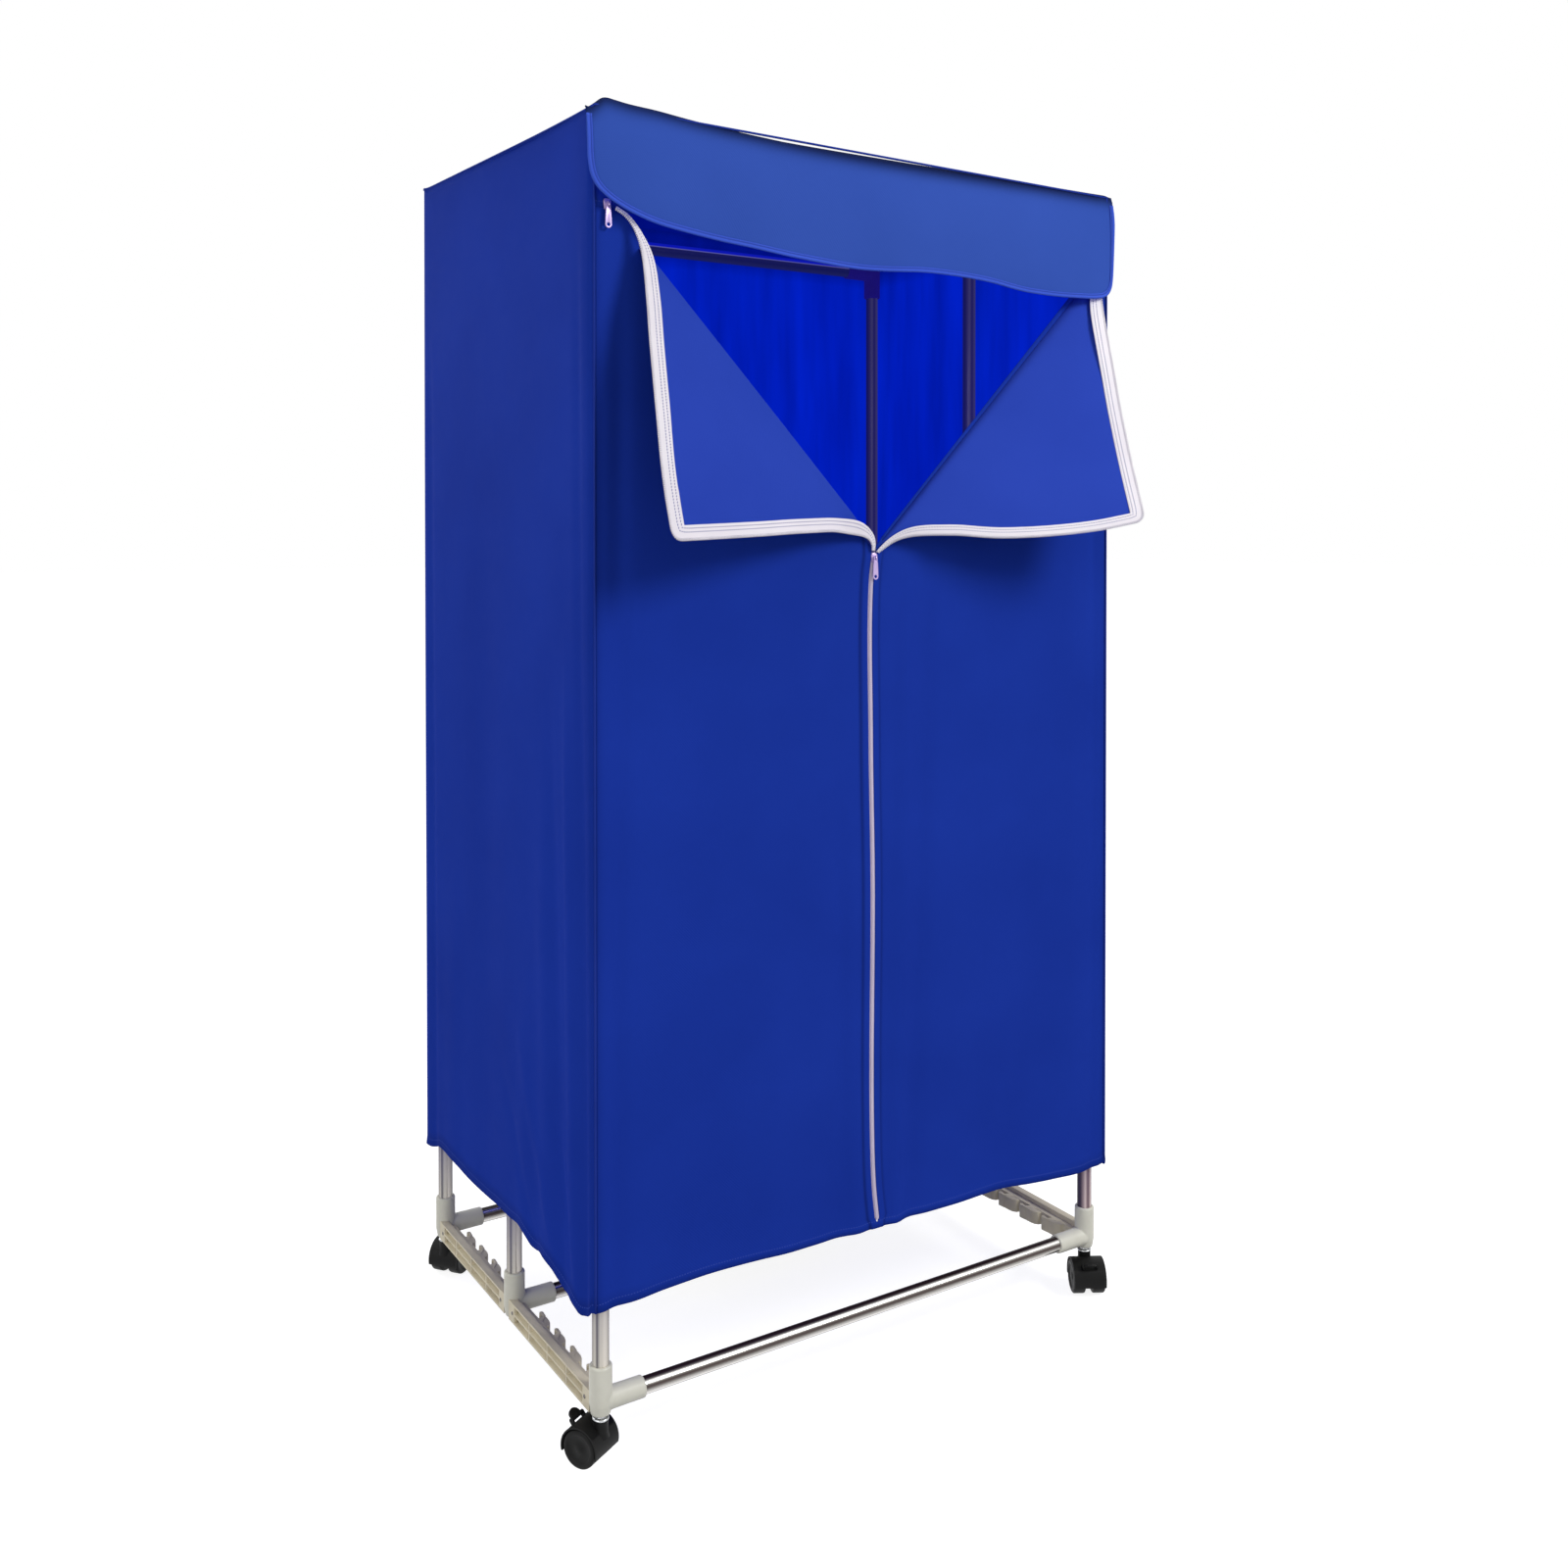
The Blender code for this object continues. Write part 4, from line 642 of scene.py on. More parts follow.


# Drawn steel tube: bands of tone round the tube on its own map, whose first direction is the turn from 0 to 1.
# The bands are painted reflections and highlights. A band's fourth value is how metallic it is; "dusk" is 1 where
# the tube stands in the covered cabinet, where its colour is mixed towards a painted shade and given a painted blue
# glow
def tubeLook(name, bands, within=(0.01, 0.012, 0.12), glow=0.55):
    made, tree, shader = newMaterial(name)
    place = tree.nodes.new("ShaderNodeTexCoord")
    split = tree.nodes.new("ShaderNodeSeparateXYZ")
    tree.links.new(place.outputs["UV"], split.inputs[0])
    stretch = stretched(tree, place.outputs["UV"], (60.0, 3.0, 1.0))
    marks = addNode(tree, "ShaderNodeTexNoise", in_Scale=1.0, in_Detail=3.0)
    tree.links.new(stretch, marks.inputs["Vector"])
    wander = mathNode(tree, "MULTIPLY", mathNode(tree, "SUBTRACT", marks.outputs["Fac"], 0.5), 0.022)
    ramp = tree.nodes.new("ShaderNodeValToRGB")
    stops = ramp.color_ramp.elements
    stops[0].color, stops[1].color = bands[0][1], bands[-1][1]
    for at, colour in bands[1:-1]:
        stops.new(at).color = colour
    tree.links.new(mathNode(tree, "ADD", split.outputs[0], wander), ramp.inputs["Fac"])
    dusk = addNode(tree, "ShaderNodeAttribute", attribute_name="dusk")
    colour = ramp.outputs["Color"]
    if within:
        colour = mixColours(tree, dusk.outputs["Fac"], colour, within)
    tree.links.new(colour, shader.inputs["Base Color"])
    tree.links.new(mixColours(tree, dusk.outputs["Fac"], (0.0, 0.0, 0.0), colour), shader.inputs["Emission Color"])
    shader.inputs["Emission Strength"].default_value = glow
    plain = mathNode(tree, "SUBTRACT", 1.0, mathNode(tree, "MULTIPLY", dusk.outputs["Fac"], 0.8))
    tree.links.new(mathNode(tree, "MULTIPLY", ramp.outputs["Alpha"], plain), shader.inputs["Metallic"])
    shader.inputs["Specular IOR Level"].default_value = 0.1
    rough = ranged(tree, marks.outputs["Fac"], in_To_Min=0.16, in_To_Max=0.26)
    tree.links.new(rough, shader.inputs["Roughness"])
    return made


# The bands round the tubes are painted reflections: painted highlights, mid tones and painted dark edges, each tone
# with how metallic it is as its fourth value
silver, pale, grey = (0.44, 0.425, 0.4, 0.6), (0.72, 0.7, 0.67, 1.0), (0.2, 0.185, 0.17, 0.3)
midReflection, shine, softReflection = (0.6, 0.565, 0.485, 0.5), (0.92, 0.88, 0.79, 0.8), (0.4, 0.375, 0.325, 0.3)
dimReflection, brown, darkEdgeReflection = (0.31, 0.3, 0.275, 0.3), (0.095, 0.072, 0.068, 0.1), (0.02, 0.011, 0.012, 0.0)
# Turns are counted from +X towards +Y for posts, and from the side away from the front, over the top, for rails
postBands = [
    (0.0, midReflection), (0.09, grey), (0.13, midReflection), (0.22, shine), (0.3, midReflection), (0.36, grey), (0.42, softReflection),
    (0.5, softReflection), (0.57, midReflection), (0.6, dimReflection), (0.612, brown), (0.632, dimReflection), (0.668, midReflection), (0.7, midReflection),
    (0.76, (0.74, 0.69, 0.6, 0.6)), (0.82, midReflection), (0.875, softReflection), (0.93, grey), (1.0, midReflection),
]
# The right posts' bands are the shaded copy: painted shade, dark painted reflections and dim pinkish painted
# highlights
postRightBands = [
    (0.0, silver), (0.1, grey), (0.22, pale), (0.34, silver), (0.4, brown), (0.47, (0.038, 0.027, 0.045, 0.1)),
    (0.535, (0.055, 0.037, 0.058, 0.1)), (0.6, (0.3, 0.225, 0.235, 0.3)), (0.655, (0.62, 0.5, 0.48, 0.4)),
    (0.685, (0.33, 0.24, 0.24, 0.3)), (0.712, (0.14, 0.085, 0.09, 0.1)), (0.76, (0.36, 0.265, 0.26, 0.3)),
    (0.79, (0.7, 0.58, 0.54, 0.4)), (0.82, (0.34, 0.26, 0.25, 0.3)), (0.87, silver), (0.93, grey), (1.0, silver),
]
railBands = [
    (0.0, silver), (0.08, grey), (0.15, brown), (0.215, darkEdgeReflection), (0.308, darkEdgeReflection), (0.335, grey), (0.35, pale),
    (0.38, pale), (0.405, silver), (0.428, grey), (0.44, brown), (0.468, brown), (0.49, grey), (0.52, silver),
    (0.575, pale), (0.63, silver), (0.68, dimReflection), (0.74, grey), (0.88, pale), (1.0, silver),
]
# Bands of the hanging rails inside the cover: a painted reflection of the bright blue lining on the upper side, a
# thin painted highlight, and painted shade below; none is metallic
hangingBands = [
    (0.0, (0.01, 0.014, 0.13, 0.0)), (0.1, (0.008, 0.016, 0.3, 0.0)), (0.25, (0.007, 0.016, 0.58, 0.0)),
    (0.43, (0.008, 0.018, 0.62, 0.0)), (0.452, (0.22, 0.22, 0.46, 0.0)), (0.472, (0.02, 0.022, 0.13, 0.0)),
    (0.56, (0.013, 0.016, 0.105, 0.0)), (0.66, (0.022, 0.026, 0.11, 0.0)), (0.8, (0.009, 0.012, 0.12, 0.0)),
    (1.0, (0.01, 0.014, 0.13, 0.0)),
]
royal, royalDeep = (0.0108, 0.0375, 0.345), (0.009, 0.032, 0.305)
sewing = (0.03, 0.06, 0.36)
looks = {
    "cloth": clothLook("royalBlueCloth", royal, royalDeep, stitches=(0.0085,), thread=sewing),
    "clothInside": clothLook(
        "brightBlueLining", (0.002, 0.018, 0.4), (0.001, 0.013, 0.32),
        glow=((0.0003, 0.0175, 0.56), (0.0002, 0.011, 0.34)), shade=(0.0003, 0.004, 0.1),
    ),
    "roofInside": clothLook(
        "shadedRoofLining", (0.002, 0.012, 0.26), (0.001, 0.009, 0.2),
        glow=((0.0003, 0.012, 0.4), (0.0002, 0.008, 0.28)), shade=(0.0003, 0.003, 0.06),
    ),
    "valance": clothLook(
        "paleBlueCloth", (0.035, 0.085, 0.415), (0.0305, 0.076, 0.38), shade=(0.006, 0.011, 0.05),
    ),
    "flap": clothLook("softBlueLining", (0.025, 0.06, 0.435), (0.021, 0.052, 0.395), shade=(0.008, 0.016, 0.12)),
    "piping": clothLook("darkBluePiping", (0.018, 0.04, 0.3), (0.013, 0.032, 0.25)),
    "binding": clothLook("brightBlueBinding", (0.052, 0.11, 0.62), (0.044, 0.094, 0.55), shade=(0.022, 0.045, 0.28)),
    "tape": clothLook(
        "whiteZipTape", (0.86, 0.825, 0.87), (0.74, 0.7, 0.76), shade=(0.35, 0.33, 0.45), stitches=(0.0086, 0.0132),
        thread=(0.12, 0.12, 0.34),
    ),
    "zip": clothLook("lilacZipTape", (0.74, 0.66, 0.8), (0.63, 0.56, 0.72), (0.5, 0.7)),
    "coil": plasticLook("nylonCoil", (0.82, 0.785, 0.84), (0.68, 0.65, 0.72), (0.35, 0.5), specular=0.3),
    "pull": metalLook("lilacMetal", (0.52, 0.4, 0.68), (0.42, 0.32, 0.58), (0.28, 0.42), 60.0, 0.55),
    # Lit and shaded copies of one tube: painted highlights on the left posts, painted shade on the right ones
    "postLeft": tubeLook("brightPostTube", postBands),
    "postRight": tubeLook("shadedPostTube", postRightBands),
    "rail": tubeLook("brightRailTube", railBands),
    "hanging": tubeLook("paintedReflectionRailTube", hangingBands, None, 0.5),
    "connector": plasticLook("offWhiteJoint", (0.7, 0.69, 0.605), (0.64, 0.63, 0.545), (0.34, 0.48), specular=0.3),
    # Upper joints and top bars: a dark blue painted shade with a painted blue glow for the dim light inside the cover
    "upperJoint": plasticLook(
        "paintedShadeJoint", (0.04, 0.038, 0.2), (0.03, 0.03, 0.16), (0.4, 0.55), specular=0.1,
        glow=(0.008, 0.004, 0.085),
    ),
    "bar": plasticLook("warmWhiteBar", (0.72, 0.655, 0.5), (0.62, 0.56, 0.425), (0.42, 0.56), specular=0.2),
    "caster": plasticLook("blackNylon", (0.0072,) * 3, (0.0042,) * 3, (0.4, 0.55), specular=0.14),
    "steel": metalLook("zincSteel", (0.62, 0.63, 0.64), (0.42, 0.43, 0.45), (0.2, 0.35), 90.0),
    "screw": metalLook("darkScrew", (0.2, 0.19, 0.18), (0.12, 0.11, 0.11), (0.3, 0.45), 120.0),
    "heater": plasticLook("lightGreyPlastic", (0.6, 0.6, 0.58), (0.55, 0.55, 0.53), (0.35, 0.5)),
    "dark": plasticLook("darkGreyPlastic", (0.034, 0.034, 0.038), (0.024, 0.024, 0.027), (0.35, 0.5)),
    "element": metalLook("heaterFins", (0.45, 0.45, 0.46), (0.34, 0.34, 0.35), (0.3, 0.45), 60.0),
}
print("materials ready")


# Camera, lights and floor

camera = {"lens": 34.3, "shiftY": -0.1487, "place": (-1.0559, -1.716, 1.0142), "yaw": 32.43, "pitch": -0.7}
cameraData = bpy.data.cameras.new("camera")
cameraData.lens = camera["lens"]
cameraData.sensor_width = 36
cameraData.shift_y = camera["shiftY"]
cameraData.clip_start = 0.05
viewpoint = bpy.data.objects.new("camera", cameraData)
viewpoint.location = Vector(camera["place"]) + Vector((0, midY, 0))
viewpoint.rotation_euler = (math.radians(90 + camera["pitch"]), 0, math.radians(-camera["yaw"]))
bpy.context.scene.collection.objects.link(viewpoint)
bpy.context.scene.camera = viewpoint
bpy.context.scene.view_settings.view_transform = "Standard"

lights = {
    "key": {"place": (1.9, -2.9, 3.0), "size": 1.5, "power": 96},
    "fill": {"place": (-3.0, -1.2, 1.7), "size": 2.4, "power": 34},
    "top": {"place": (0.2, 0.3, 3.6), "size": 2.6, "power": 22},
    "back": {"place": (-1.6, 2.8, 1.8), "size": 2.0, "power": 22},
}
for lightName, light in lights.items():
    data = bpy.data.lights.new(lightName, "AREA")
    data.shape = "DISK"
    data.size = light["size"]
    data.energy = light["power"]
    lamp = bpy.data.objects.new(lightName, data)
    lamp.location = light["place"]
    lamp.rotation_euler = (Vector((0, midY, 0.8)) - Vector(light["place"])).to_track_quat("-Z", "Y").to_euler()
    bpy.context.scene.collection.objects.link(lamp)

# The world is white to the camera and in gloss, and softer as light; the floor glows for the camera so that it
# reads white while its shading keeps the shadow
studio = {"ambient": 0.42, "floorSize": 40.0, "floorTone": 0.5, "floorGlow": 0.84}


def seenDirectly(tree):
    path = tree.nodes.new("ShaderNodeLightPath")
    gloss = mathNode(tree, "MAXIMUM", path.outputs["Is Glossy Ray"], path.outputs["Is Transmission Ray"])
    return mathNode(tree, "MAXIMUM", path.outputs["Is Camera Ray"], gloss)


world = bpy.data.worlds.new("studio")
bpy.context.scene.world = world
world.use_nodes = True
backdrop = world.node_tree.nodes["Background"]
extra = mathNode(world.node_tree, "MULTIPLY", seenDirectly(world.node_tree), 1 - studio["ambient"])
world.node_tree.links.new(mathNode(world.node_tree, "ADD", extra, studio["ambient"]), backdrop.inputs["Strength"])
backdrop.inputs["Color"].default_value = (1, 1, 1, 1)

half = studio["floorSize"]
corners = [(-half, -half, 0), (half, -half, 0), (half, half, 0), (-half, half, 0)]
floor = meshPiece("floor", corners, [(0, 1, 2, 3)], smooth=False)
floorLook, floorTree, floorShader = newMaterial("paleFloor")
floorShader.inputs["Base Color"].default_value = (*(studio["floorTone"],) * 3, 1)
floorShader.inputs["Roughness"].default_value = 0.9
floorShader.inputs["Specular IOR Level"].default_value = 0.0
floor.data.materials.append(floorLook)
floorShader.inputs["Emission Color"].default_value = (1, 1, 1, 1)
floorGlow = mathNode(floorTree, "MULTIPLY", seenDirectly(floorTree), studio["floorGlow"])
floorTree.links.new(floorGlow, floorShader.inputs["Emission Strength"])
print("camera, lights and floor ready")


# Cover: walls, front panels, top strip and roof

# Creases of a hung sheet. Each is a bell across the sheet, u in metres, that leans with the height share v, and
# fades in above its lower height and out towards its upper one
def creases(u, v, table):
    total = 0 * u + 0 * v
    for at, lean, width, depth, low, high in table:
        across = (u - at - lean * v) / width
        shown = fade(v, low - 0.12, low + 0.04) * (1 - fade(v, high - 0.18, high))
        total = total + depth * np.exp(-across ** 2) * shown
    return total


# The roof rises towards the rear left corner, swells where the valance rolls over it at the front left, and dips
# in its last 8 mm at the front right
def roofHeight(x, y):
    leftRise = fade(-x, -0.05, coverX) * (0.0162 * (y + coverY) / (2 * coverY))
    rearCorner = np.clip(-x / coverX, 0, 1) ** 30 * np.clip(y / coverY, 0, 1) ** 30
    back = roofZ + 0.0003 + leftRise + 0.0035 * rearCorner
    step = smoothCurve(roofFront, np.broadcast_to(x, np.broadcast(x, y).shape)) - roofZ - 0.0003
    near, last = np.clip(-y / coverY, 0, 1) ** 3, fade(-y, coverY - 0.0078, coverY)
    return back + near * np.maximum(step, 0) + last * np.minimum(step, 0)


# Plan of the walls, from the front right seam round right wall, back and left wall to the front left seam,
# with each corner a quarter circle
def wallPlan(columns):
    r = cover["corner"]
    a, b = coverX, coverY
    quarter = np.linspace(0, math.pi / 2, 7)[1:-1]
    legs = [
        [(a - r, -b)], [(a - r + r * math.sin(t), -b + r - r * math.cos(t)) for t in quarter],
        [(a, -b + r + (2 * b - 2 * r) * k) for k in np.linspace(0, 1, columns[0])],
        [(a - r + r * math.cos(t), b - r + r * math.sin(t)) for t in quarter],
        [(a - r - (2 * a - 2 * r) * k, b) for k in np.linspace(0, 1, columns[1])],
        [(-a + r - r * math.sin(t), b - r + r * math.cos(t)) for t in quarter],
        [(-a, b - r - (2 * b - 2 * r) * k) for k in np.linspace(0, 1, columns[0])],
        [(-a + r - r * math.cos(t), -b + r - r * math.sin(t)) for t in quarter], [(-a + r, -b)],
    ]
    return np.array([point for leg in legs for point in leg])


def buildWalls():
    plan = wallPlan((96, 90))
    along = np.gradient(plan, axis=0)
    out = unit(np.stack([along[:, 1], -along[:, 0]], -1))
    x, y = plan.T
    # Creases die out at the four corners
    edgeX = np.minimum(coverX - np.abs(x), 0.05) / 0.05
    edgeY = np.minimum(coverY - np.abs(y), 0.016) / 0.016
    calm = np.clip(np.where(np.abs(y) > coverY - 1e-6, edgeX, edgeY), 0, 1) ** 0.7
    v = np.linspace(0, 1, cover["rows"])[:, None]
    hemRight = smoothCurve([(k, 0.168 + 0.01 * math.sin(11 * k)) for k in np.linspace(-0.27, 0.27, 9)], y)
    hemBack = 0.184 + 0.006 * np.sin(9 * x + 1)
    hem = np.where(y > coverY - 0.01, hemBack, np.where(x < 0, smoothCurve(leftHem, y), hemRight))
    near = np.clip(np.abs(y - coverY) / 0.05, 0, 1)
    hem = np.where(y > 0, near * hem + (1 - near) * hemBack, hem)
    front = fade(y + coverY, 0.0, 0.005)
    hem = front * hem + (1 - front) * smoothCurve(frontHem, x)
    top = roofHeight(x, y) - 0.001
    z = hem + v * (top - hem)
    deep = y[None] + coverY  # distance back from the front corner
    left = creases(deep, v, [
        (0.02, 0.01, 0.01, -0.0035, 0.0, 0.95), (0.044, 0.03, 0.012, 0.004, 0.0, 0.6),
        (0.078, 0.06, 0.014, -0.003, 0.0, 0.55), (0.115, 0.03, 0.02, 0.003, 0.0, 0.45),
        (0.185, -0.05, 0.022, 0.0026, 0.0, 0.3), (0.3, 0.02, 0.045, -0.0022, 0.0, 0.75),
        (0.43, -0.04, 0.03, 0.0022, 0.0, 0.35), (0.495, 0.01, 0.01, -0.0022, 0.0, 0.9),
        (0.036, -0.02, 0.02, 0.0022, 0.5, 0.98), (0.085, 0.6, 0.013, 0.0026, 0.0, 0.24),
        (0.15, 0.75, 0.012, -0.0022, 0.0, 0.2), (0.04, 0.45, 0.01, -0.0022, 0.0, 0.22),
    ])
    right = creases(deep, v, [
        (0.03, 0.02, 0.014, 0.0035, 0.0, 0.7), (0.13, 0.05, 0.03, -0.003, 0.0, 0.8),
        (0.26, -0.03, 0.024, 0.003, 0.0, 0.4), (0.39, 0.03, 0.036, -0.0026, 0.0, 0.65),
        (0.48, -0.01, 0.014, 0.0026, 0.0, 0.5),
    ])
    behind = creases(x[None] + coverX, v, [
        (0.09, 0.05, 0.03, 0.0045, 0.0, 0.8), (0.23, -0.04, 0.036, -0.005, 0.0, 0.95),
        (0.36, 0.03, 0.03, 0.005, 0.0, 0.9), (0.43, -0.06, 0.026, -0.0045, 0.0, 0.96),
        (0.56, 0.04, 0.032, 0.005, 0.0, 0.7), (0.68, -0.03, 0.024, -0.004, 0.0, 0.85),
        (0.4, 0.1, 0.016, 0.0035, 0.3, 0.98), (0.3, 0.06, 0.014, -0.0035, 0.5, 0.98),
    ])
    push = np.where(y > coverY - 1e-6, behind, np.where(x < 0, left, right)) * calm[None]
    push = push + 0.0009 * np.sin(13 * deep + 5 * x[None] + 4 * v) * calm[None]
    # The hem rolls out a little where it is turned up
    push = push + 0.0012 * bell(z - hem, 0.006)
    points = np.stack([x + out[:, 0] * push, y + midY + out[:, 1] * push, z], -1)
    # Painted shade: a band under the roof's edge, a line along the hem's seam and a strip beside the front corners
    dusk = 0.22 * np.exp(-(top - z) / 0.012) + 0.3 * bell(z - hem - cover["hemSeam"], 0.0016) * (z - hem < 0.02)
    dusk = dusk + 0.12 * bell(deep, 0.03) * (np.abs(x) > coverX - 0.002)
    clothSheet(
        "coverWalls", points, looks["cloth"], looks["clothInside"], "frame",
        ("cover_left", "cover_right", "cover_back"), dusk=dusk,
    )


def zipX(z):
    return smoothCurve(zipLine, z)


# Upper edge of the front panels: two straight slants from the middle zip up to the top strip, and at the left
# the cloth under the tape's last bend
def mouthHeight(x):
    share = np.clip(np.abs(x - cover["zipMiddle"]) / cover["mouthX"], 0, 1)
    slant = cover["mouthZ"] + (cover["zipLineZ"] - cover["mouthZ"]) * share
    corner = smoothCurve([
        (-0.38, 1.36), (-0.344, 1.36), (-0.335, 1.3572), (-0.328, 1.349), (-0.3235, 1.338),
        (-0.32, 1.325), (-0.317, 1.313), (-0.314, 1.295),
    ], x)
    return np.where(x < -0.314, np.maximum(slant, corner), slant)


def buildFrontPanel(side):
    sign = sideSign[side]
    outer = coverX - cover["corner"]
    u = np.concatenate([
        np.linspace(0, 0.055, 16), np.linspace(0.055, 0.84, 46)[1:], np.linspace(0.84, 1, 26)[1:],
    ])[None]
    v = np.linspace(0, 1, cover["rows"])[:, None]
    x = sign * outer * np.broadcast_to(u, (cover["rows"], u.shape[1]))
    for _ in range(3):  # the inner edge leans with the zip, so height and place are found together
        hem = smoothCurve(frontHem, x)
        height = hem + v * (mouthHeight(x) - hem)
        inner = zipX(height) + sign * cover["zipGap"] * fade(height, 0.1865, 0.1895)
        x = inner + u * (sign * outer - inner)
    fromZip = np.abs(x - inner)
    calm = fade(u, 0.0, 0.03) * np.clip((1 - u) / 0.05, 0, 1) ** 0.8
    slack = np.clip((mouthHeight(x) - height) / 0.1, 0, 1)
    tables = {
        "left": [
            (0.03, 0.02, 0.012, 0.003, 0.0, 0.7), (0.062, -0.015, 0.016, -0.0026, 0.0, 0.8),
            (0.13, 0.06, 0.03, 0.0026, 0.0, 0.6), (0.235, 0.01, 0.04, -0.0024, 0.0, 0.75),
            (0.32, 0.03, 0.022, 0.003, 0.0, 0.55), (0.35, -0.01, 0.012, -0.0028, 0.0, 0.98),
        ],
        "right": [
            (0.026, 0.02, 0.01, 0.004, 0.0, 0.97), (0.05, 0.03, 0.014, -0.0032, 0.0, 0.98),
            (0.12, -0.04, 0.034, 0.0024, 0.0, 0.7), (0.215, 0.03, 0.04, -0.0022, 0.0, 0.6),
            (0.318, -0.01, 0.024, 0.0026, 0.0, 0.85), (0.352, 0.004, 0.01, -0.0022, 0.0, 0.98),
        ],
    }
    push = creases(np.abs(x), v, tables[side]) * calm * slack
    # A pressed strip runs beside the zip
    strip = 1 - fade(fromZip, cover["strip"] - 0.0015, cover["strip"] + 0.0015)
    push = push + 0.0016 * strip + 0.001 * bell(height - hem, 0.006)
    points = np.stack([x, midY - coverY - push, height], -1)
    # Painted shade: a line along the pressed strip's edge, deeper on the left panel, a line along the hem's seam and
    # a strip at the outer corner
    dusk = 0.55 * bell(fromZip - cover["strip"] - 0.0015, 0.002) * (0.9 if side == "left" else 0.6)
    dusk = dusk + 0.3 * bell(height - hem - cover["hemSeam"], 0.0016) + 0.18 * bell(outer - np.abs(x), 0.006)
    if side == "left":
        points, dusk = points[:, ::-1], dusk[:, ::-1]
    clothSheet(
        "coverFront" + side.capitalize(), points, looks["cloth"], looks["clothInside"], "frame",
        ("cover_front_" + side,), dusk=dusk,
    )


def buildTopStrip():
    columns, rows = 80, 12
    u = np.linspace(-1, 1, columns)[None]
    v = np.linspace(0, 1, rows)[:, None]
    x = np.broadcast_to(u * (coverX - cover["corner"] * 0.6), (rows, columns))
    top = roofHeight(x, -coverY) - 0.001
    z = cover["zipLineZ"] + v * (top - cover["zipLineZ"])
    y = midY - coverY + 0.0006 + 0 * z
    clothSheet(
        "coverTopStrip", np.stack([x, y, z], -1), looks["cloth"], looks["clothInside"], "frame",
        ("cover_front_top",),
    )


# Places from -1 to 1 that crowd towards both ends
def crowded(count, share):
    even = np.linspace(-1, 1, count)
    return (1 - share) * even + share * np.sin(even * math.pi / 2)


# The roof lies on the top bars and sags a little between the rows: edge height minus sag times the sine across
# times the size of the sine front to back
def buildRoof():
    u, v = crowded(84, 0.4)[None], crowded(72, 0.4)[:, None]
    x, y = u * coverX + 0 * v, v * coverY + 0 * u
    bay = np.clip((x + 0.33) / 0.66, 0, 1)
    sag = 0.0035 * np.sin(math.pi * bay) * np.abs(np.sin(math.pi * (y / coverY))) ** 0.8
    ripple = 0.0006 * np.sin(24 * x + 7 * y) * np.sin(math.pi * bay)
    edge = np.clip(np.maximum(np.abs(u), np.abs(v)) - 0.985, 0, 1) / 0.015
    z = roofHeight(x, y) - sag + ripple - 0.002 * edge ** 2
    points = np.stack([x, y + midY, z], -1)
    clothSheet(
        "coverRoof", points, looks["cloth"], looks["roofInside"], "frame", ("cover_roof",),
    )


# Beads over the seams: up each corner, and round the roof's edge
def buildPiping():
    z = np.linspace(0, 1, 60)
    r = cover["corner"]
    for side, sign in sideSign.items():
        x = sign * (coverX - r * 0.8)
        hem = float(smoothCurve(frontHem, np.array([x]))[0])
        height = hem + z * (roofZ - 0.004 - hem)
        for row, way, lift in (("Front", -1, 0.0), ("Rear", 1, 0.006)):
            path = np.stack([np.full(60, x), np.full(60, midY + way * (coverY + 0.0006)), height + lift], -1)
            bead("seam" + row + side.capitalize(), path, cover["piping"], looks["piping"], "frame")
    plan = wallPlan((60, 72))
    x, y = np.concatenate([plan, plan[:1]]).T
    path = np.stack([x, y + midY, roofHeight(x, y) - 0.0005], -1)
    bead("seamRoof", path, cover["piping"], looks["piping"], "frame")


buildWalls()
buildFrontPanel("left")
buildFrontPanel("right")
buildTopStrip()
buildRoof()
buildPiping()
print("cover ready")


# Valance: sewn along the roof's front edge, rolled over it and hanging in front

valance = {
    "rows": 60, "columns": 170, "roll": 0.006, "rollShare": 0.2, "above": 0.0012, "halfWidth": 0.3828, "lip": 0.0185,
    "endCalm": 0.8, "binding": 0.006,
}
valanceEdge = [
    (-0.3836, 1.42), (-0.3815, 1.4), (-0.376, 1.3845), (-0.3665, 1.3735), (-0.35, 1.3625), (-0.3317, 1.354),
    (-0.3106, 1.3465), (-0.2867, 1.3415), (-0.2316, 1.3355), (-0.1937, 1.3325), (-0.128, 1.327), (-0.055, 1.322),
    (-0.005, 1.323), (0.074, 1.328), (0.157, 1.325), (0.22, 1.317), (0.304, 1.318), (0.345, 1.3215),
    (0.362, 1.3262), (0.3725, 1.335), (0.378, 1.35), (0.3805, 1.38), (0.3828, 1.42),
]


# The valance's place out from the front: a lip that swells towards the lower edge as 1 - (1 - fall) squared and
# is smaller at the ends
def valanceOut(x, fall):
    share = x / valance["halfWidth"]
    swell = (1 - valance["endCalm"] * np.abs(share) ** 10) * (1 + 0.1 * np.cos(9 * share) + 0.05 * np.sin(23 * share))
    return valance["lip"] * swell * (1 - (1 - fall) ** 2) + 0.0006 * np.sin(40 * x) * fall + 0.0015


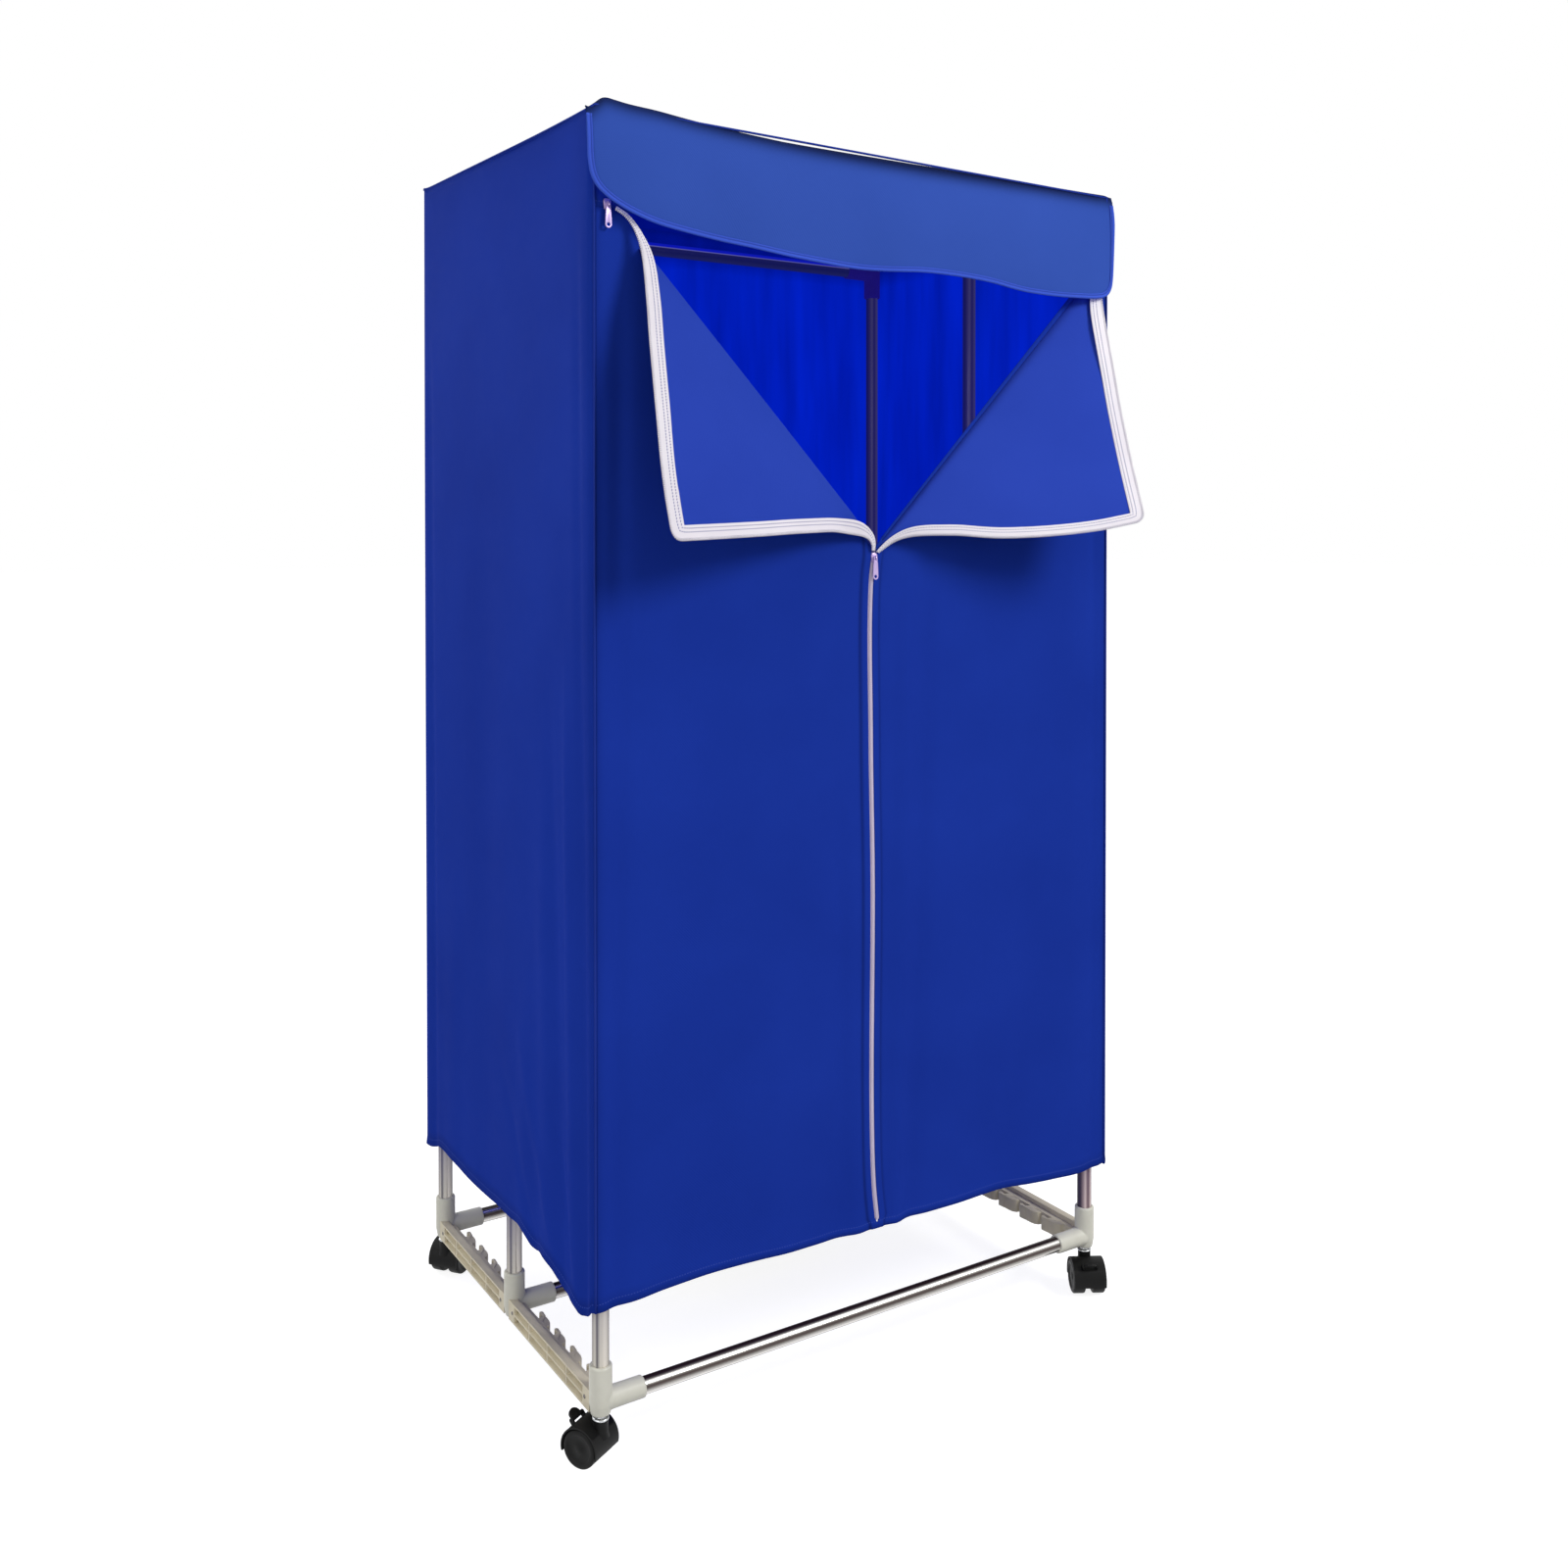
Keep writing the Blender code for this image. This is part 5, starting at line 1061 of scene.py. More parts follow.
def buildValance():
    half = valance["halfWidth"]
    x = (crowded(valance["columns"], 0.6) * half)[None]
    v = np.linspace(0, 1, valance["rows"])[:, None]
    low = smoothCurve(valanceEdge, x)
    r = valance["roll"]
    edge = smoothCurve(roofFront, x) + valance["above"]
    # The first fifth goes over the roof's edge on a quarter circle that narrows at the sides, the rest hangs
    roll = r * (1 - 0.9 * fade(np.abs(x), half - 0.008, half))
    over = np.clip(v / valance["rollShare"], 0, 1)
    turn = over * math.pi / 2
    fall = np.clip((v - valance["rollShare"]) / (1 - valance["rollShare"]), 0, 1)
    behind = roofHeight(np.clip(x, -coverX, coverX), -coverY + roll) + 0.0014
    top = edge + (np.maximum(behind, edge) - edge) * (1 - np.sin(turn))
    z = top - roll * (1 - np.cos(turn)) - fall * (edge - roll - low)
    y = midY - coverY + roll * (1 - np.sin(turn)) - valanceOut(x, fall) * over
    # Painted shade over the roll, darkest at the roof's edge
    dusk = 0.95 * bell(edge - z, 0.0125)
    points = np.stack([x + 0 * v, y, z], -1)[::-1]
    sheet = clothSheet(
        "valanceSheet", points, looks["valance"], looks["clothInside"], None, ("valance",),
        dusk=dusk[::-1],
    )
    # The binding is a narrow folded strip round the free edge, laid on the sheet
    left = np.stack([np.full(14, -half), np.linspace(float(edge[0, 0]) - r, float(low[0, 0]), 14)], -1)
    right = np.stack([np.full(14, half), np.linspace(float(low[0, -1]), float(edge[0, -1]) - r, 14)], -1)
    rim = np.concatenate([left[:-1], np.stack([x[0], low[0]], -1), right[1:]])
    rim = smoothPath(evenPath(rim, 0.003), 6)
    along = unit(np.gradient(rim, axis=0))
    inward = np.stack([-along[:, 1], along[:, 0]], -1)
    across = np.array([-0.0004, 0.001, 0.0022, 0.0032, 0.0038, 0.0048, valance["binding"]])[:, None, None]
    flat = rim[None] + across * inward[None]
    highest = smoothCurve(roofFront, flat[..., 0]) + valance["above"] - r
    lowest = smoothCurve(valanceEdge, flat[..., 0])
    share = np.clip((highest - flat[..., 1]) / np.maximum(highest - lowest, 0.004), 0, 1)
    crown = 0.0006 + np.array([0.0002, 0.0009, 0.001, 0.0004, 0.0, 0.0002, 0.0])[:, None]
    y = midY - coverY - valanceOut(flat[..., 0], share) - crown
    # Painted shade: a dark line beside the binding's inner rib and a little along its edges
    edgeLineShade = np.array([0.1, 0.0, 0.0, 0.35, 0.9, 0.35, 0.1])[:, None] * np.ones(len(rim))
    points = np.stack([flat[..., 0], y, flat[..., 1]], -1)
    binding = ribbon("valanceBinding", points, 0.0009, looks["binding"], None, dusk=edgeLineShade)
    # Both have their placement applied to their meshes
    for piece in (sheet, binding):
        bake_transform(piece)


buildValance()
print("valance ready")


# Flaps: cloth carried round its fold, with zip tape along the free edges that runs on into the sliders

flap = {
    "tapeWidth": 0.0172, "rollHeight": 0.0042, "rollWidth": 0.011, "bow": 0.004, "cornerRound": 0.015,
    "blendLength": 0.095, "upperPoints": 70, "lowerPoints": 80, "stubPoints": 26, "crispPoints": 14,
}
# Free edges of the cloth as (share from fold to corner, x, distance out from the front, z), and the tape's outer
# and inner sides as (x, out, z), from the upper slider to the flap and from the flap to the middle slider
flapShapes = {
    "left": {
        "start": 0.048,
        "outer": [
            (0.13, -0.3206, 0.012, 1.313), (0.252, -0.3214, 0.0237, 1.2845), (0.443, -0.3261, 0.0439, 1.2142),
            (0.63, -0.3298, 0.0642, 1.1454), (0.843, -0.3338, 0.0879, 1.067), (1.0, -0.3328, 0.105, 1.0101),
        ],
        "lower": [
            (0.078, -0.0288, 0.0054, 1.0182), (0.139, -0.0486, 0.0114, 1.0199), (0.4, -0.133, 0.039, 1.0185),
            (0.648, -0.2128, 0.0644, 1.0147), (1.0, -0.3328, 0.105, 1.0101),
        ],
        "upperTape": (
            [(-0.3503, 0.0025, 1.3597), (-0.3406, 0.004, 1.3563), (-0.3334, 0.006, 1.3479), (-0.3285, 0.009, 1.3364),
             (-0.3259, 0.012, 1.3256), (-0.3248, 0.015, 1.3159), (-0.325, 0.0225, 1.2906)],
            [(-0.3488, 0.0025, 1.3624), (-0.3388, 0.004, 1.3591), (-0.3311, 0.006, 1.3518), (-0.3246, 0.009, 1.3399),
             (-0.3174, 0.0115, 1.3277), (-0.3117, 0.014, 1.3152), (-0.3076, 0.022, 1.286)],
        ),
        "lowerTape": (
            [(-0.0796, 0.021, 1.0124), (-0.0467, 0.012, 1.0124), (-0.0274, 0.0075, 1.0101), (-0.0156, 0.005, 1.0054),
             (-0.0113, 0.004, 0.9995), (-0.012, 0.003, 0.9919)],
            [(-0.0802, 0.021, 1.03), (-0.0526, 0.0125, 1.0296), (-0.0338, 0.0085, 1.0274), (-0.0221, 0.006, 1.0224),
             (-0.0124, 0.0045, 1.0135), (-0.007, 0.004, 1.0071), (-0.0085, 0.003, 0.9919)],
        ),
        "upperJoin": 0.32, "lowerJoin": 0.24, "outward": (0.005, 0.0042), "inward": (0.0155, 0.0112),
    },
    "right": {
        "start": 0.02,
        "outer": [
            (0.072, 0.3465, 0.005, 1.32), (0.277, 0.3448, 0.028, 1.2514), (0.542, 0.3337, 0.059, 1.1707),
            (0.765, 0.3258, 0.086, 1.1028), (1.0, 0.3196, 0.115, 1.0318),
        ],
        "lower": [
            (0.1, 0.028, 0.0108, 1.0124), (0.183, 0.0544, 0.0208, 1.0165), (0.474, 0.1482, 0.0553, 1.0117),
            (0.808, 0.256, 0.0938, 1.0196), (1.0, 0.3196, 0.115, 1.0318),
        ],
        "upperTape": (
            [(0.3545, 0.003, 1.361), (0.357, 0.005, 1.342), (0.357, 0.0062, 1.3233), (0.3565, 0.01, 1.3063),
             (0.3555, 0.0265, 1.2522)],
            [(0.348, 0.003, 1.361), (0.3395, 0.0065, 1.336), (0.334, 0.0085, 1.3145), (0.3325, 0.014, 1.2945),
             (0.334, 0.03, 1.2504)],
        ),
        "lowerTape": (
            [(0.055, 0.02, 1.0112), (0.0308, 0.011, 1.0088), (0.0123, 0.006, 1.0018), (0.0022, 0.0035, 0.9928),
             (-0.0034, 0.003, 0.9899)],
            [(0.0498, 0.019, 1.0213), (0.0352, 0.013, 1.0201), (0.0172, 0.007, 1.0112), (0.0046, 0.005, 1.0022),
             (-0.0014, 0.0035, 0.9952), (-0.006, 0.003, 0.9908)],
        ),
        "upperJoin": 0.4, "lowerJoin": 0.3, "outward": (0.005, 0.004), "inward": (0.0122, 0.0088),
    },
}


def fromFront(table):
    table = np.asarray(table, float)
    return np.stack([table[..., 0], midY - coverY - table[..., 1], table[..., 2]], -1)


def edgeCurve(first, table):
    keys = [0.0] + [row[0] for row in table]
    points = np.concatenate([[first], fromFront([row[1:] for row in table])])
    return lambda at: np.stack([smoothCurve(list(zip(keys, points[:, i])), at) for i in range(3)], -1)


def flapFrame(side):
    sign, shape = sideSign[side], flapShapes[side]
    hingeTop = np.array([sign * cover["mouthX"], midY - coverY, cover["zipLineZ"] - 0.001])
    hingeEnd = np.array([cover["zipMiddle"] + sign * 0.0033, midY - coverY, cover["mouthZ"]])
    down = unit(hingeEnd - hingeTop)
    outer = edgeCurve(hingeTop + down * shape["start"], shape["outer"])
    lower = edgeCurve(hingeEnd, shape["lower"])
    corner = outer(np.array([1.0]))[0]
    facing = unit(np.cross(hingeEnd - hingeTop, corner - hingeTop))
    facing *= -np.sign(facing[1])
    return hingeTop, hingeEnd, down, outer, lower, corner, facing


# The sheet runs from the outer edge to the lower edge in straight rows that shorten from the fold to the free
# corner, and rises in a roll near the fold as (s / width) exp(1 - s / width)
def buildFlap(side):
    hingeTop, _, down, outer, lower, _, facing = flapFrame(side)
    v = np.linspace(0, 0.985, 72) ** 1.25
    u = np.linspace(0, 1, 60)[None, :, None]
    points = (1 - u) * outer(v)[:, None] + u * lower(v)[:, None]
    s = v[:, None, None] * 0.25
    ends = fade(np.minimum(u, 1 - u), 0.0, 0.06)
    roll = flap["rollHeight"] * (s / flap["rollWidth"]) * np.exp(1 - s / flap["rollWidth"]) * ends
    bow = flap["bow"] * np.sin(math.pi * v)[:, None, None] * 4 * u * (1 - u)
    up = np.cross(down, [0, 1.0, 0])
    up *= np.sign(up[2])
    points = points + roll * (np.array([0, -0.8, 0]) + 0.5 * up) + bow * facing
    # Painted shade along the roll beside the fold
    dusk = np.broadcast_to(0.45 * bell(s[..., 0], 0.007), points.shape[:2])
    if side == "left":
        points, dusk = points[:, ::-1], dusk[:, ::-1]
    piece = clothSheet(
        "flapSheet" + side.capitalize(), points, looks["flap"], looks["cloth"], None, ("flap_" + side,),
        dusk=dusk,
    )
    blendFlap(piece)
    buildFlapTape(side)


def blendFlap(piece):
    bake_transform(piece)


# Offset of a leg of the edge to one side, from its join to the mitre with the other leg: straight steps along
# the leg plus the inward direction times the offset
def tapeLeg(curve, join, inwardHint, facing, offset, mitre, count):
    at = np.linspace(join, 1, 60)
    path = curve(at)
    along = unit(np.gradient(path, axis=0))
    inward = unit(np.cross(along, facing))
    inward *= np.sign((inward @ inwardHint).mean())
    side = path + offset * inward
    length = walked(side)
    reach = (mitre - side[-1]) @ along[-1]
    total = length[-1] + reach
    where = np.linspace(0, total, count)
    inside = between(np.minimum(where, length[-1]), length, side)
    points = inside + np.clip(where - length[-1], 0, None)[:, None] * along[-1]
    # The last stretch eases onto the mitre point
    ease = fade(where, total - 0.04, total)[:, None]
    return points + ease * (mitre - points[-1])


def tapeRail(side, offsets, roundCorner):
    hingeTop, hingeEnd, _, outer, lower, corner, facing = flapFrame(side)
    shape = flapShapes[side]
    centre = (hingeTop + hingeEnd + corner) / 3
    ends = []
    for curve in (outer, lower):
        along = curve(np.array([1.0]))[0] - curve(np.array([0.93]))[0]
        inward = np.cross(unit(along), facing)
        ends.append(unit(inward) * np.sign(inward @ (centre - corner)))
    # The mitre lies at both offsets: for directions at an angle with cosine c, the shares are (d - e c) / (1 - cc)
    c, (d, e) = ends[0] @ ends[1], offsets
    mitre = corner + ((d - e * c) * ends[0] + (e - d * c) * ends[1]) / (1 - c * c)
    first = tapeLeg(outer, shape["upperJoin"], centre - corner, facing, d, mitre, flap["upperPoints"])
    second = tapeLeg(lower, shape["lowerJoin"], centre - corner, facing, e, mitre, flap["lowerPoints"])[::-1]
    rail = np.concatenate([first, second[1:]])
    if roundCorner:
        length = walked(rail)
        bend = length - length[len(first) - 1]
        r = flap["cornerRound"]
        near = np.abs(bend) < r
        t = ((bend[near] + r) / (2 * r))[:, None]
        before, after = (mitre + unit(point - mitre) * r for point in (first[-12], second[12]))
        rail[near] = (1 - t) ** 2 * before + 2 * t * (1 - t) * mitre + t ** 2 * after
    return rail


# A tape's side from a slider up to the flap's own part of it, without the point that they share
def stubRail(points, towards):
    points = np.concatenate([fromFront(points), towards[None]])
    keys = walked(points)
    at = np.linspace(0, keys[-1], flap["stubPoints"])[:-1]
    return np.stack([smoothCurve(list(zip(keys, points[:, i])), at) for i in range(3)], -1)


def buildFlapTape(side):
    hingeTop, _, down, _, _, _, facing = flapFrame(side)
    shape = flapShapes[side]
    rails = []
    for i, offsets in enumerate((-np.array(shape["outward"]), np.array(shape["inward"]))):
        main = tapeRail(side, offsets, i == 0)
        upper = stubRail(shape["upperTape"][i][:-1], main[0])
        last = stubRail(shape["lowerTape"][i][:0:-1], main[-1])[::-1]
        rail = np.concatenate([upper, main, last])
        bend = np.abs(np.arange(len(rail)) - (len(upper) + flap["upperPoints"] - 1))[:, None]
        rails.append(np.where(bend < flap["crispPoints"], rail, smoothPath(rail, 10)))
    across = np.linspace(0, 1, 9)[:, None, None]
    lift = 0.0013 * facing
    points = (1 - across) * rails[0][None] + across * rails[1][None] + lift
    # The map's second direction keeps the tape's full width, also where it narrows or turns edge on
    lengths = gridLengths(points)
    width = np.broadcast_to(np.linspace(0, flap["tapeWidth"], 9)[:, None], lengths.shape[:2])
    uv = np.stack([lengths[4:5, :, 0] + 0 * width, width], -1)
    piece = ribbon("flapTape" + side.capitalize(), points, 0.0009, looks["tape"], None, uv=uv)
    blendFlap(piece)
    edge = rails[0] + 1.4 * lift
    teeth = coil(
        "flapTeeth" + side.capitalize(), edge, rails[0] - rails[1], np.broadcast_to(facing, edge.shape),
        looks["coil"], None, pitch=0.0023, size=(0.0034, 0.0012, 0.0018),
    )
    blendFlap(teeth)


# Zip teeth: a small rounded block every pitch along the path, reaching to its side
def coil(name, path, side, normal, look, body, pitch=0.0021, size=(0.0026, 0.0011, 0.0013)):
    path, side, normal = (np.asarray(a, float) for a in (path, side, normal))
    length = walked(path)
    at = np.arange(pitch / 2, length[-1], pitch)
    centre, sideAt, normalAt = (between(at, length, rows) for rows in (path, side, normal))
    alongAt = unit(np.gradient(centre, axis=0))
    sideAt = unit(sideAt - (sideAt * alongAt).sum(1, keepdims=True) * alongAt)
    square = np.cross(sideAt, alongAt)
    normalAt = square * np.sign((square * normalAt).sum(1, keepdims=True))
    ring = [(0.5, 0.2), (0.3, 0.5), (-0.3, 0.5), (-0.5, 0.2), (-0.5, -0.2), (-0.3, -0.5), (0.3, -0.5), (0.5, -0.2)]
    tooth = np.array([(x, k, z) for k in (-0.5, 0.5) for x, z in ring])  # side, along, normal
    points = (
        centre[:, None] + tooth[None, :, :1] * size[0] * sideAt[:, None]
        + tooth[None, :, 1:2] * size[1] * alongAt[:, None] + tooth[None, :, 2:] * size[2] * normalAt[:, None]
    )
    i = np.arange(8)
    j = (i + 1) % 8
    quads = np.stack([i, j, j + 8, i + 8], -1)
    caps = np.array([(0, 1, 2, 3), (0, 3, 4, 7), (4, 5, 6, 7), (8, 11, 10, 9), (8, 15, 12, 11), (12, 15, 14, 13)])
    local = np.concatenate([quads, caps])
    faces = (local[None] + 16 * np.arange(len(at))[:, None, None]).reshape(-1, 4)
    piece = meshPiece(name, points, faces, None, (look,), smooth=False)
    fixNormals(piece.data)
    if body:
        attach(piece, body)
    return piece


buildFlap("left")
buildFlap("right")
print("flaps ready")


# Zip up the middle, and the tape left on the top strip under the valance

chain = {
    "low": 0.1875, "high": 0.99, "halfWidth": 0.005, "tape": 0.0008, "teethOut": 0.0014, "pitch": 0.002,
    "tooth": (0.0024, 0.001, 0.0015), "stripEnds": (-0.285, 0.345), "stripBelow": 0.003, "stripAbove": 0.006,
}


def buildZip():
    z = np.linspace(chain["low"], chain["high"], 160)
    x = zipX(z)
    y = np.full_like(z, midY - coverY - 0.0004)
    across = np.linspace(-1, 1, 7)[:, None]
    points = np.stack([x + chain["halfWidth"] * across, y - 0.0004 * (1 - across ** 2), z + 0 * across], -1)
    piece = ribbon("zipTape", points, chain["tape"], looks["zip"], "frame")
    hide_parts("zip_chain")
    path = np.stack([x, y - chain["teethOut"], z], -1)
    side = np.tile([1.0, 0, 0], (len(z), 1))
    normal = np.tile([0, -1.0, 0], (len(z), 1))
    for name, sign in (("zipTeethLeft", -1), ("zipTeethRight", 1)):
        row = path + [sign * 0.0008, 0, sign * 0.0005]
        coil(name, row, side, normal, looks["zip"], "frame", chain["pitch"], chain["tooth"])
    xs = np.linspace(*chain["stripEnds"], 90)
    z = np.full_like(xs, cover["zipLineZ"] + 0.001)
    across = np.linspace(-chain["stripBelow"], chain["stripAbove"], 5)[:, None]
    points = np.stack([xs + 0 * across, np.full_like(xs, midY - coverY - 0.0006) + 0 * across, z + across], -1)
    ribbon("stripTape", points, chain["tape"], looks["tape"], "frame")
    path = np.stack([xs, np.full_like(xs, midY - coverY - chain["teethOut"]), z - chain["stripBelow"]], -1)
    down, forward = (np.tile(way, (len(xs), 1)) for way in ([0, 0, -1.0], [0, -1.0, 0]))
    coil("stripTeeth", path, down, forward, looks["coil"], "frame")


buildZip()
for side in ("left", "middle", "right"):
    moulded("slider" + side.capitalize(), "zip_slider_" + side, looks["pull"], 0.0003)
    moulded("pullTab" + side.capitalize(), "zip_pull_" + side, looks["pull"], 0.00025)
print("zip ready")


# Frame: tubes, joints and bars

tube = {"radius": 0.0095, "wall": 0.0008, "rim": 0.0003, "steps": 72}


# A tube's profile of (radius, height) is carried round its axis. Its map holds the turn round the axis from 0 to
# 1, and the height in metres
def buildTube(name, node, kind):
    low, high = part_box(node)
    middle = (low + high) / 2
    size = high - low
    axis = max(range(3), key=lambda i: size[i])
    length = size[axis]
    r, w, c = tube["radius"], tube["wall"], tube["rim"]
    profile = [(r - w, c), (r - w + c / 2, 0), (r - c, 0)] + [(r, h) for h in np.linspace(c, length - c, 12)]
    profile += [(r - c, length), (r - w + c / 2, length), (r - w, length - c), (r - w, c)]
    profile = np.array(profile)
    steps = tube["steps"]
    turn = np.linspace(0, 2 * math.pi, steps + 1)
    # Around a post the turn starts at +X, and around a rail at +Y, from where it goes over the top
    around = np.stack([np.cos(turn), np.sin(turn)], -1)
    radius, height = profile[:, None, 0], np.broadcast_to(profile[:, None, 1], (len(profile), steps + 1))
    p, q = radius * around[None, :, 0], radius * around[None, :, 1]
    if axis == 2:
        points = np.stack([middle.x + p, middle.y + q, low.z + height], -1)
    else:
        points = np.stack([low.x + height, middle.y + p, middle.z + q], -1)
    uv = np.stack([np.broadcast_to(turn / (2 * math.pi), height.shape), height], -1)
    piece = meshPiece(name, points, gridFaces(len(profile), steps + 1), uv, (looks[kind],))
    # Above the hem and behind the front row a tube stands in the cabinet's shade
    hidden = fade(points[..., 2], 0.165, 0.215) * (0.9 if "Front" not in name else 0.6)
    setDusk(piece.data, hidden)
    fixNormals(piece.data, 1e-6)
    evenShading(piece.data, 40)
    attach(piece, "frame")
    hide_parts(node)


for row in rowY:
    for side in sideSign:
        buildTube("tubePost" + capitals(row, side), f"post_{row}_{side}", "post" + side.capitalize())
    buildTube("tubeBase" + row.capitalize(), "base_rail_" + row, "rail")
    buildTube("tubeHanging" + row.capitalize(), "hanging_rail_" + row, "hanging")
print("tubes ready")

joint = {
    "sleeve": 0.0127, "socket": 0.01185, "reach": 0.051, "voxel": 0.0007, "baseLength": 0.054, "baseRise": 0.014,
    "topLength": 0.07, "topDrop": 0.03,
}


# A joint in its own space: a turned sleeve round Z and a turned socket along X, fused and smoothed as a
# moulding is.
def jointMesh(length, rise, sign):
    r, s, reach = joint["sleeve"], joint["socket"], joint["reach"]
    sleeve = latheMesh("sleeve", [
        (0, 0), (r - 0.0028, 0), (r - 0.0018, 0.0012), (r - 0.0004, 0.0095), (r, 0.0115), (r, length - 0.0012),
        (r - 0.001, length), (0, length),
    ], 72)
    socket = latheMesh("socket", [
        (0, 0), (s + 0.0004, 0), (s, 0.03), (s, reach - 0.0008), (s - 0.0008, reach), (0, reach),
    ])
    socket.transform(Matrix.Translation((0, 0, rise)) @ Matrix.Rotation(sign * math.pi / 2, 4, "Y"))
    piece = helper(joined(sleeve, socket))
    remesh = piece.modifiers.new("fuse", "REMESH")
    remesh.mode = "VOXEL"
    remesh.voxel_size = joint["voxel"]
    relax = piece.modifiers.new("relax", "SMOOTH")
    relax.iterations = 5
    relax.factor = 0.5
    finished(piece)
    return released(piece)


jointMeshes = {}
for side, sign in sideSign.items():
    jointMeshes["base", side] = jointMesh(joint["baseLength"], joint["baseRise"], -sign)
    jointMeshes["top", side] = jointMesh(joint["topLength"], joint["topDrop"], -sign)


# Upper joints stand on their heads
def placeJoint(name, node, side, row, kind):
    mesh = jointMeshes[kind, side].copy()
    low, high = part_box(node)
    place = Matrix.Translation((sideSign[side] * postX, rowY[row], (low if kind == "base" else high).z))
    mesh.transform(place if kind == "base" else place @ Matrix.Rotation(math.pi, 4, "X"))
    mesh.shade_smooth()
    piece = link(name, mesh, (looks["connector" if kind == "base" else "upperJoint"],))
    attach(piece, "frame")
    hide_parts(node)


# Bars: each tooth's back is filled out to a broad step, and each end has a pad for its screw. Places are measured
# from the post's axis inwards, and from the bar's front row backwards
bar = {
    "tooth": [
        (0.007, -0.0325), (0.012, -0.031), (0.0152, -0.027), (0.0166, -0.021), (0.017, -0.012),
        (0.01, -0.0105), (0.007, -0.015),
    ],
    "first": 0.064, "pitch": 0.0447, "ledge": 0.0176, "outer": 0.0105, "deep": 0.004, "padStart": 0.008,
    "padEnd": 0.0245, "screwAt": 0.019, "screwUp": 0.012, "height": 0.024,
    "screw": [
        (0, 0.0004), (0.0009, 0.0004), (0.001, 0.0009), (0.0017, 0.0008), (0.0023, 0.0003), (0.0024, -0.0006),
        (0, -0.0006),
    ],
}


def prism(outline, low, high):
    count = len(outline)
    points = [(*p, low) for p in outline] + [(*p, high) for p in outline]
    faces = [list(range(count))[::-1], list(range(count, 2 * count))]
    faces += [[i, (i + 1) % count, count + (i + 1) % count, count + i] for i in range(count)]
    mesh = bpy.data.meshes.new("prism")
    mesh.from_pydata(points, [], faces)
    return fixNormals(mesh)


def buildBar(part, side):
    sign = sideSign[side]
    node = f"base_bar_{part}_{side}"
    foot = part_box(node)[0].z
    front = rowY["front" if part == "front" else "middle"]
    span = midY - rowY["front"]
    outlines = [
        ([(sign * (postX - x), front + bar["first"] + i * bar["pitch"] + y) for x, y in bar["tooth"]], bar["ledge"])
        for i in range(4)
    ]
    face, back = sign * (postX + bar["outer"]), sign * (postX + bar["outer"] - bar["deep"])
    for a, b in ((bar["padStart"], bar["padEnd"]), (span - bar["padEnd"], span - bar["padStart"])):
        outlines.append(([(face, front + a), (back, front + a), (back, front + b), (face, front + b)], bar["height"]))
    added = joined(*[prism(outline, foot + 0.0002, foot + height - 0.0002) for outline, height in outlines])
    moulded("sideBar" + capitals(part, side), node, looks["bar"], 0.0004, added=added)
    for i, at in enumerate((bar["screwAt"], span - bar["screwAt"])):
        head = latheMesh("screw", bar["screw"], 32)
        place = Matrix.Translation((face, front + at, foot + bar["screwUp"]))
        head.transform(place @ Matrix.Rotation(sign * math.pi / 2, 4, "Y"))
        head.shade_smooth()
        piece = link(f"barScrew{capitals(part, side)}{i + 1}", head, (looks["screw"],))
        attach(piece, "frame")


for side in sideSign:
    for row in rowY:
        placeJoint("joint" + capitals(row, side), f"base_connector_{row}_{side}", side, row, "base")
        if row != "middle":
            placeJoint("upperJoint" + capitals(row, side), f"top_connector_{row}_{side}", side, row, "top")
    for part in ("front", "rear"):
        buildBar(part, side)
    # The top bars take the upper joints' painted shade and painted glow
    moulded("upperBar" + side.capitalize(), "top_bar_" + side, looks["upperJoint"], 0.0004)
print("joints and bars ready")


# Casters: hood, wheels and brake lever in their own space, trailing towards +Y, then placed

caster = {
    "wheel": 0.021, "trail": 0.0145, "hood": 0.0238, "half": 0.0213, "web": 0.0045, "clearance": 0.001,
    "leverBack": 0.0175, "leverUp": 0.0215, "leverHalf": 0.008, "ear": 0.0022, "earRadius": 0.0026,
    "paddle": 0.008, "paddleThick": 0.0026, "paddleTilt": 32, "hub": 0.0055,
}


# Hood: a drum with two wheel tunnels cut out and its lower side opened, a boss and the lever's ears.
def hoodMesh(braked):
    c = caster
    axle = (c["trail"], c["wheel"])
    piece = helper(drum(c["hood"], (-c["half"], *axle), (c["half"], *axle), 96))
    boss = latheMesh("boss", [
        (0, 0.049), (0.0078, 0.049), (0.0084, 0.0484), (0.0084, 0.036), (0.0098, 0.03), (0, 0.03),
    ], 48)
    carve(piece, boss, "UNION")
    if braked:
        back, up, r = c["leverBack"] + c["trail"], c["leverUp"] + c["wheel"], c["earRadius"]
        lean = Matrix.Rotation(-math.atan2(c["leverBack"], c["leverUp"]), 4, "X")
        for sign in (-1, 1):
            x = sign * (c["leverHalf"] + 0.0003 + c["ear"] / 2)
            ear = drum(r, (x - c["ear"] / 2, back, up), (x + c["ear"] / 2, back, up), 32)
            carve(piece, ear, "UNION")
            root = block((x - c["ear"] / 2, -r, -0.0065), (x + c["ear"] / 2, r, 0.0))
            root.transform(Matrix.Translation((0, back, up)) @ lean)
            carve(piece, root, "UNION")
    for sign in (-1, 1):
        tunnel = drum(c["wheel"] + c["clearance"], (sign * c["web"], *axle), (sign * (c["half"] + 0.002), *axle), 96)
        carve(piece, tunnel)
    carve(piece, block((-0.03, -0.03, -0.01), (0.03, 0.06, c["wheel"] - 0.006)))
    softened(piece, 0.0005, 35)
    return released(piece)


